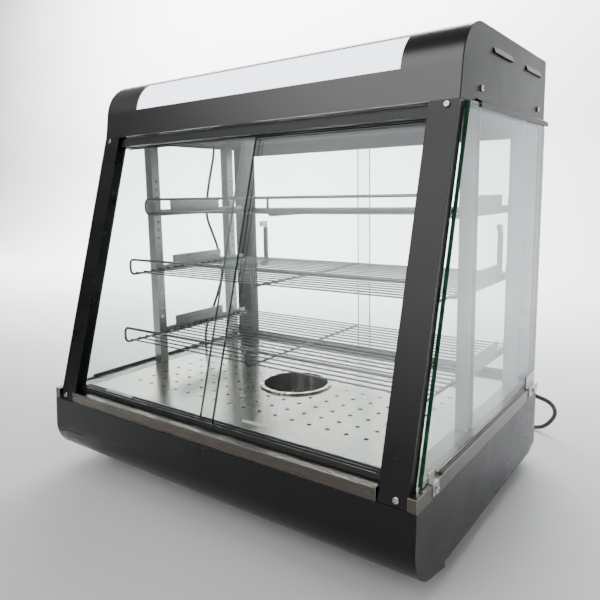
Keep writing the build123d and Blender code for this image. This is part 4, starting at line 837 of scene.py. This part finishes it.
def make_lights():
    """Ceiling and side fill for the case, and a wash that keeps the wall behind it near white."""
    area_light("ceiling_light", (0.1, 0.1, 2.6), (0, 0.1, 0), (2.4, 1.6), 22.0)
    area_light("side_light", (2.4, 0.2, 1.3), (0, 0, 0.35), (1.6, 1.4), 7.0)
    area_light("wall_wash", (-2.0, 1.1, 2.9), (-2.3, WALL_Y, 1.0), (4.6, 0.6), 520.0, (0.97, 0.985, 1.0), 130)


# ---------------------------------------------------------------- build
make_camera()
make_cord(rubber("cord_jacket", 0.012, 0.30))
make_stage()
make_world()
make_lights()

black = painted_black()
# Painted reflection: the deck and glass strips' steel is toned dark and warm (0.12), standing in for dark
# surroundings mirrored in it; the pilasters and brackets keep a paler steel tone.
brushed_across = brushed("stainless_across", (30.0, 900.0, 900.0), 0.12, 0.28, 0.10)
brushed_upright = brushed("stainless_upright", (900.0, 900.0, 30.0), 0.56, 0.32, 0.02)
brushed_bracket = brushed("stainless_bracket", (900.0, 40.0, 900.0), 0.50, 0.30, 0.01)
tray_steel = brushed("stainless_tray", (36.0, 1000.0, 1000.0), 0.34, 0.20, 0.06, 4.0)
liner_sheet = brushed("darkened_liner", (60.0, 60.0, 60.0), 0.07, 0.5, 0.02)
zinc = brushed("zinc_sheet", (60.0, 60.0, 60.0), 0.45, 0.42)
wire_plate = chrome("plated_wire", 0.22, 0.16)
bright_plate = chrome("bright_plate", 0.68, 0.14)
black_plastic = plastic("black_plastic", 0.006, 0.014, 0.34)
rubber_matt = rubber("rubber", 0.018, 0.55)
GREEN_EDGE = ((0.006, 0.050, 0.022), (0.030, 0.125, 0.062))
GREY_EDGE = ((0.020, 0.040, 0.030), (0.050, 0.085, 0.066))
PANE_TINT = (0.955, 0.98, 0.968)
LEANING = (0.0, -0.9616, 0.2745)

paint(black, "base_front_fascia", "base_side_left", "base_side_right", "base_rear_panel")
paint(black, "rear_post_left", "rear_post_right")
paint(painted_black("painted_post", coat=0.25), "front_post_left", "front_post_right")
paint(painted_black("painted_cover", 0.008, (0.26, 0.36), 1.42, 1.0), "canopy_cover")
paint(painted_black("painted_end", 0.009, (0.34, 0.42)), "canopy_end_left", "canopy_end_right")
paint(painted_black("painted_inside", 0.012, (0.60, 0.75), 1.12), "canopy_ceiling")
paint(brushed_across, "top_deck", "glass_strips")
paint(brushed_bracket, "shelf_brackets_left", "shelf_brackets_right", "glass_clips")
paint(brushed_upright, "pilasters_left", "pilasters_right")
paint(tray_steel, "perforated_tray")
paint(liner_sheet, "heat_liner")
paint(zinc, "base_bottom_plate")
paint(polished_steel(), "water_cup")
paint(wire_plate, "wire_shelf_1", "wire_shelf_2", "wire_shelf_3")
paint(bright_plate, "case_screws", "temperature_gauge")
paint(sleeved_handle(), "rear_handle_left", "rear_handle_right")
side_pane = clear_glass("side_pane", 0.016, (0.94, 0.97, 0.955), (1, 0, 0), *GREEN_EDGE)
paint(side_pane, "side_glass_left", "side_glass_right")
front_pane = clear_glass("front_pane", 0.006, PANE_TINT, LEANING, *GREY_EDGE)
paint(front_pane, "front_door_left", "front_door_right")
rear_pane = clear_glass("rear_pane", 0.008, PANE_TINT, (0, 1, 0), *GREY_EDGE)
paint(rear_pane, "rear_door_left", "rear_door_right")
paint(clear_plastic(), "door_pull_left", "door_pull_right", "glass_seats")
paint(black_plastic, "front_track_lower", "front_track_upper", "rear_track_lower", "rear_track_upper")
paint(black_plastic, "thermostat_knob", "thermostat_body", "power_switch_body", "light_switch_body")
paint(plastic("white_plastic", 0.62, 0.74, 0.40), "lamp_holders", "terminal_block")
paint(opal_acrylic(), "light_diffuser")
paint(plastic("lamp_glass", 0.80, 0.88, 0.20), "lamp_tube")
paint(rubber_matt, "rubber_feet", "cord_gland", "lamp_lead")
paint(moulded_plug(), "mains_plug")
paint(plastic("red_rocker", (0.35, 0.012, 0.010), (0.45, 0.02, 0.015), 0.2), "power_switch_rocker")
paint(plastic("green_rocker", (0.01, 0.16, 0.03), (0.02, 0.24, 0.05), 0.2), "light_switch_rocker")
paint(heat_tinted(), "heating_element")

make_gland_ribs(rubber_matt)
make_gauge()
make_knob_scale()
make_rocker_marks()
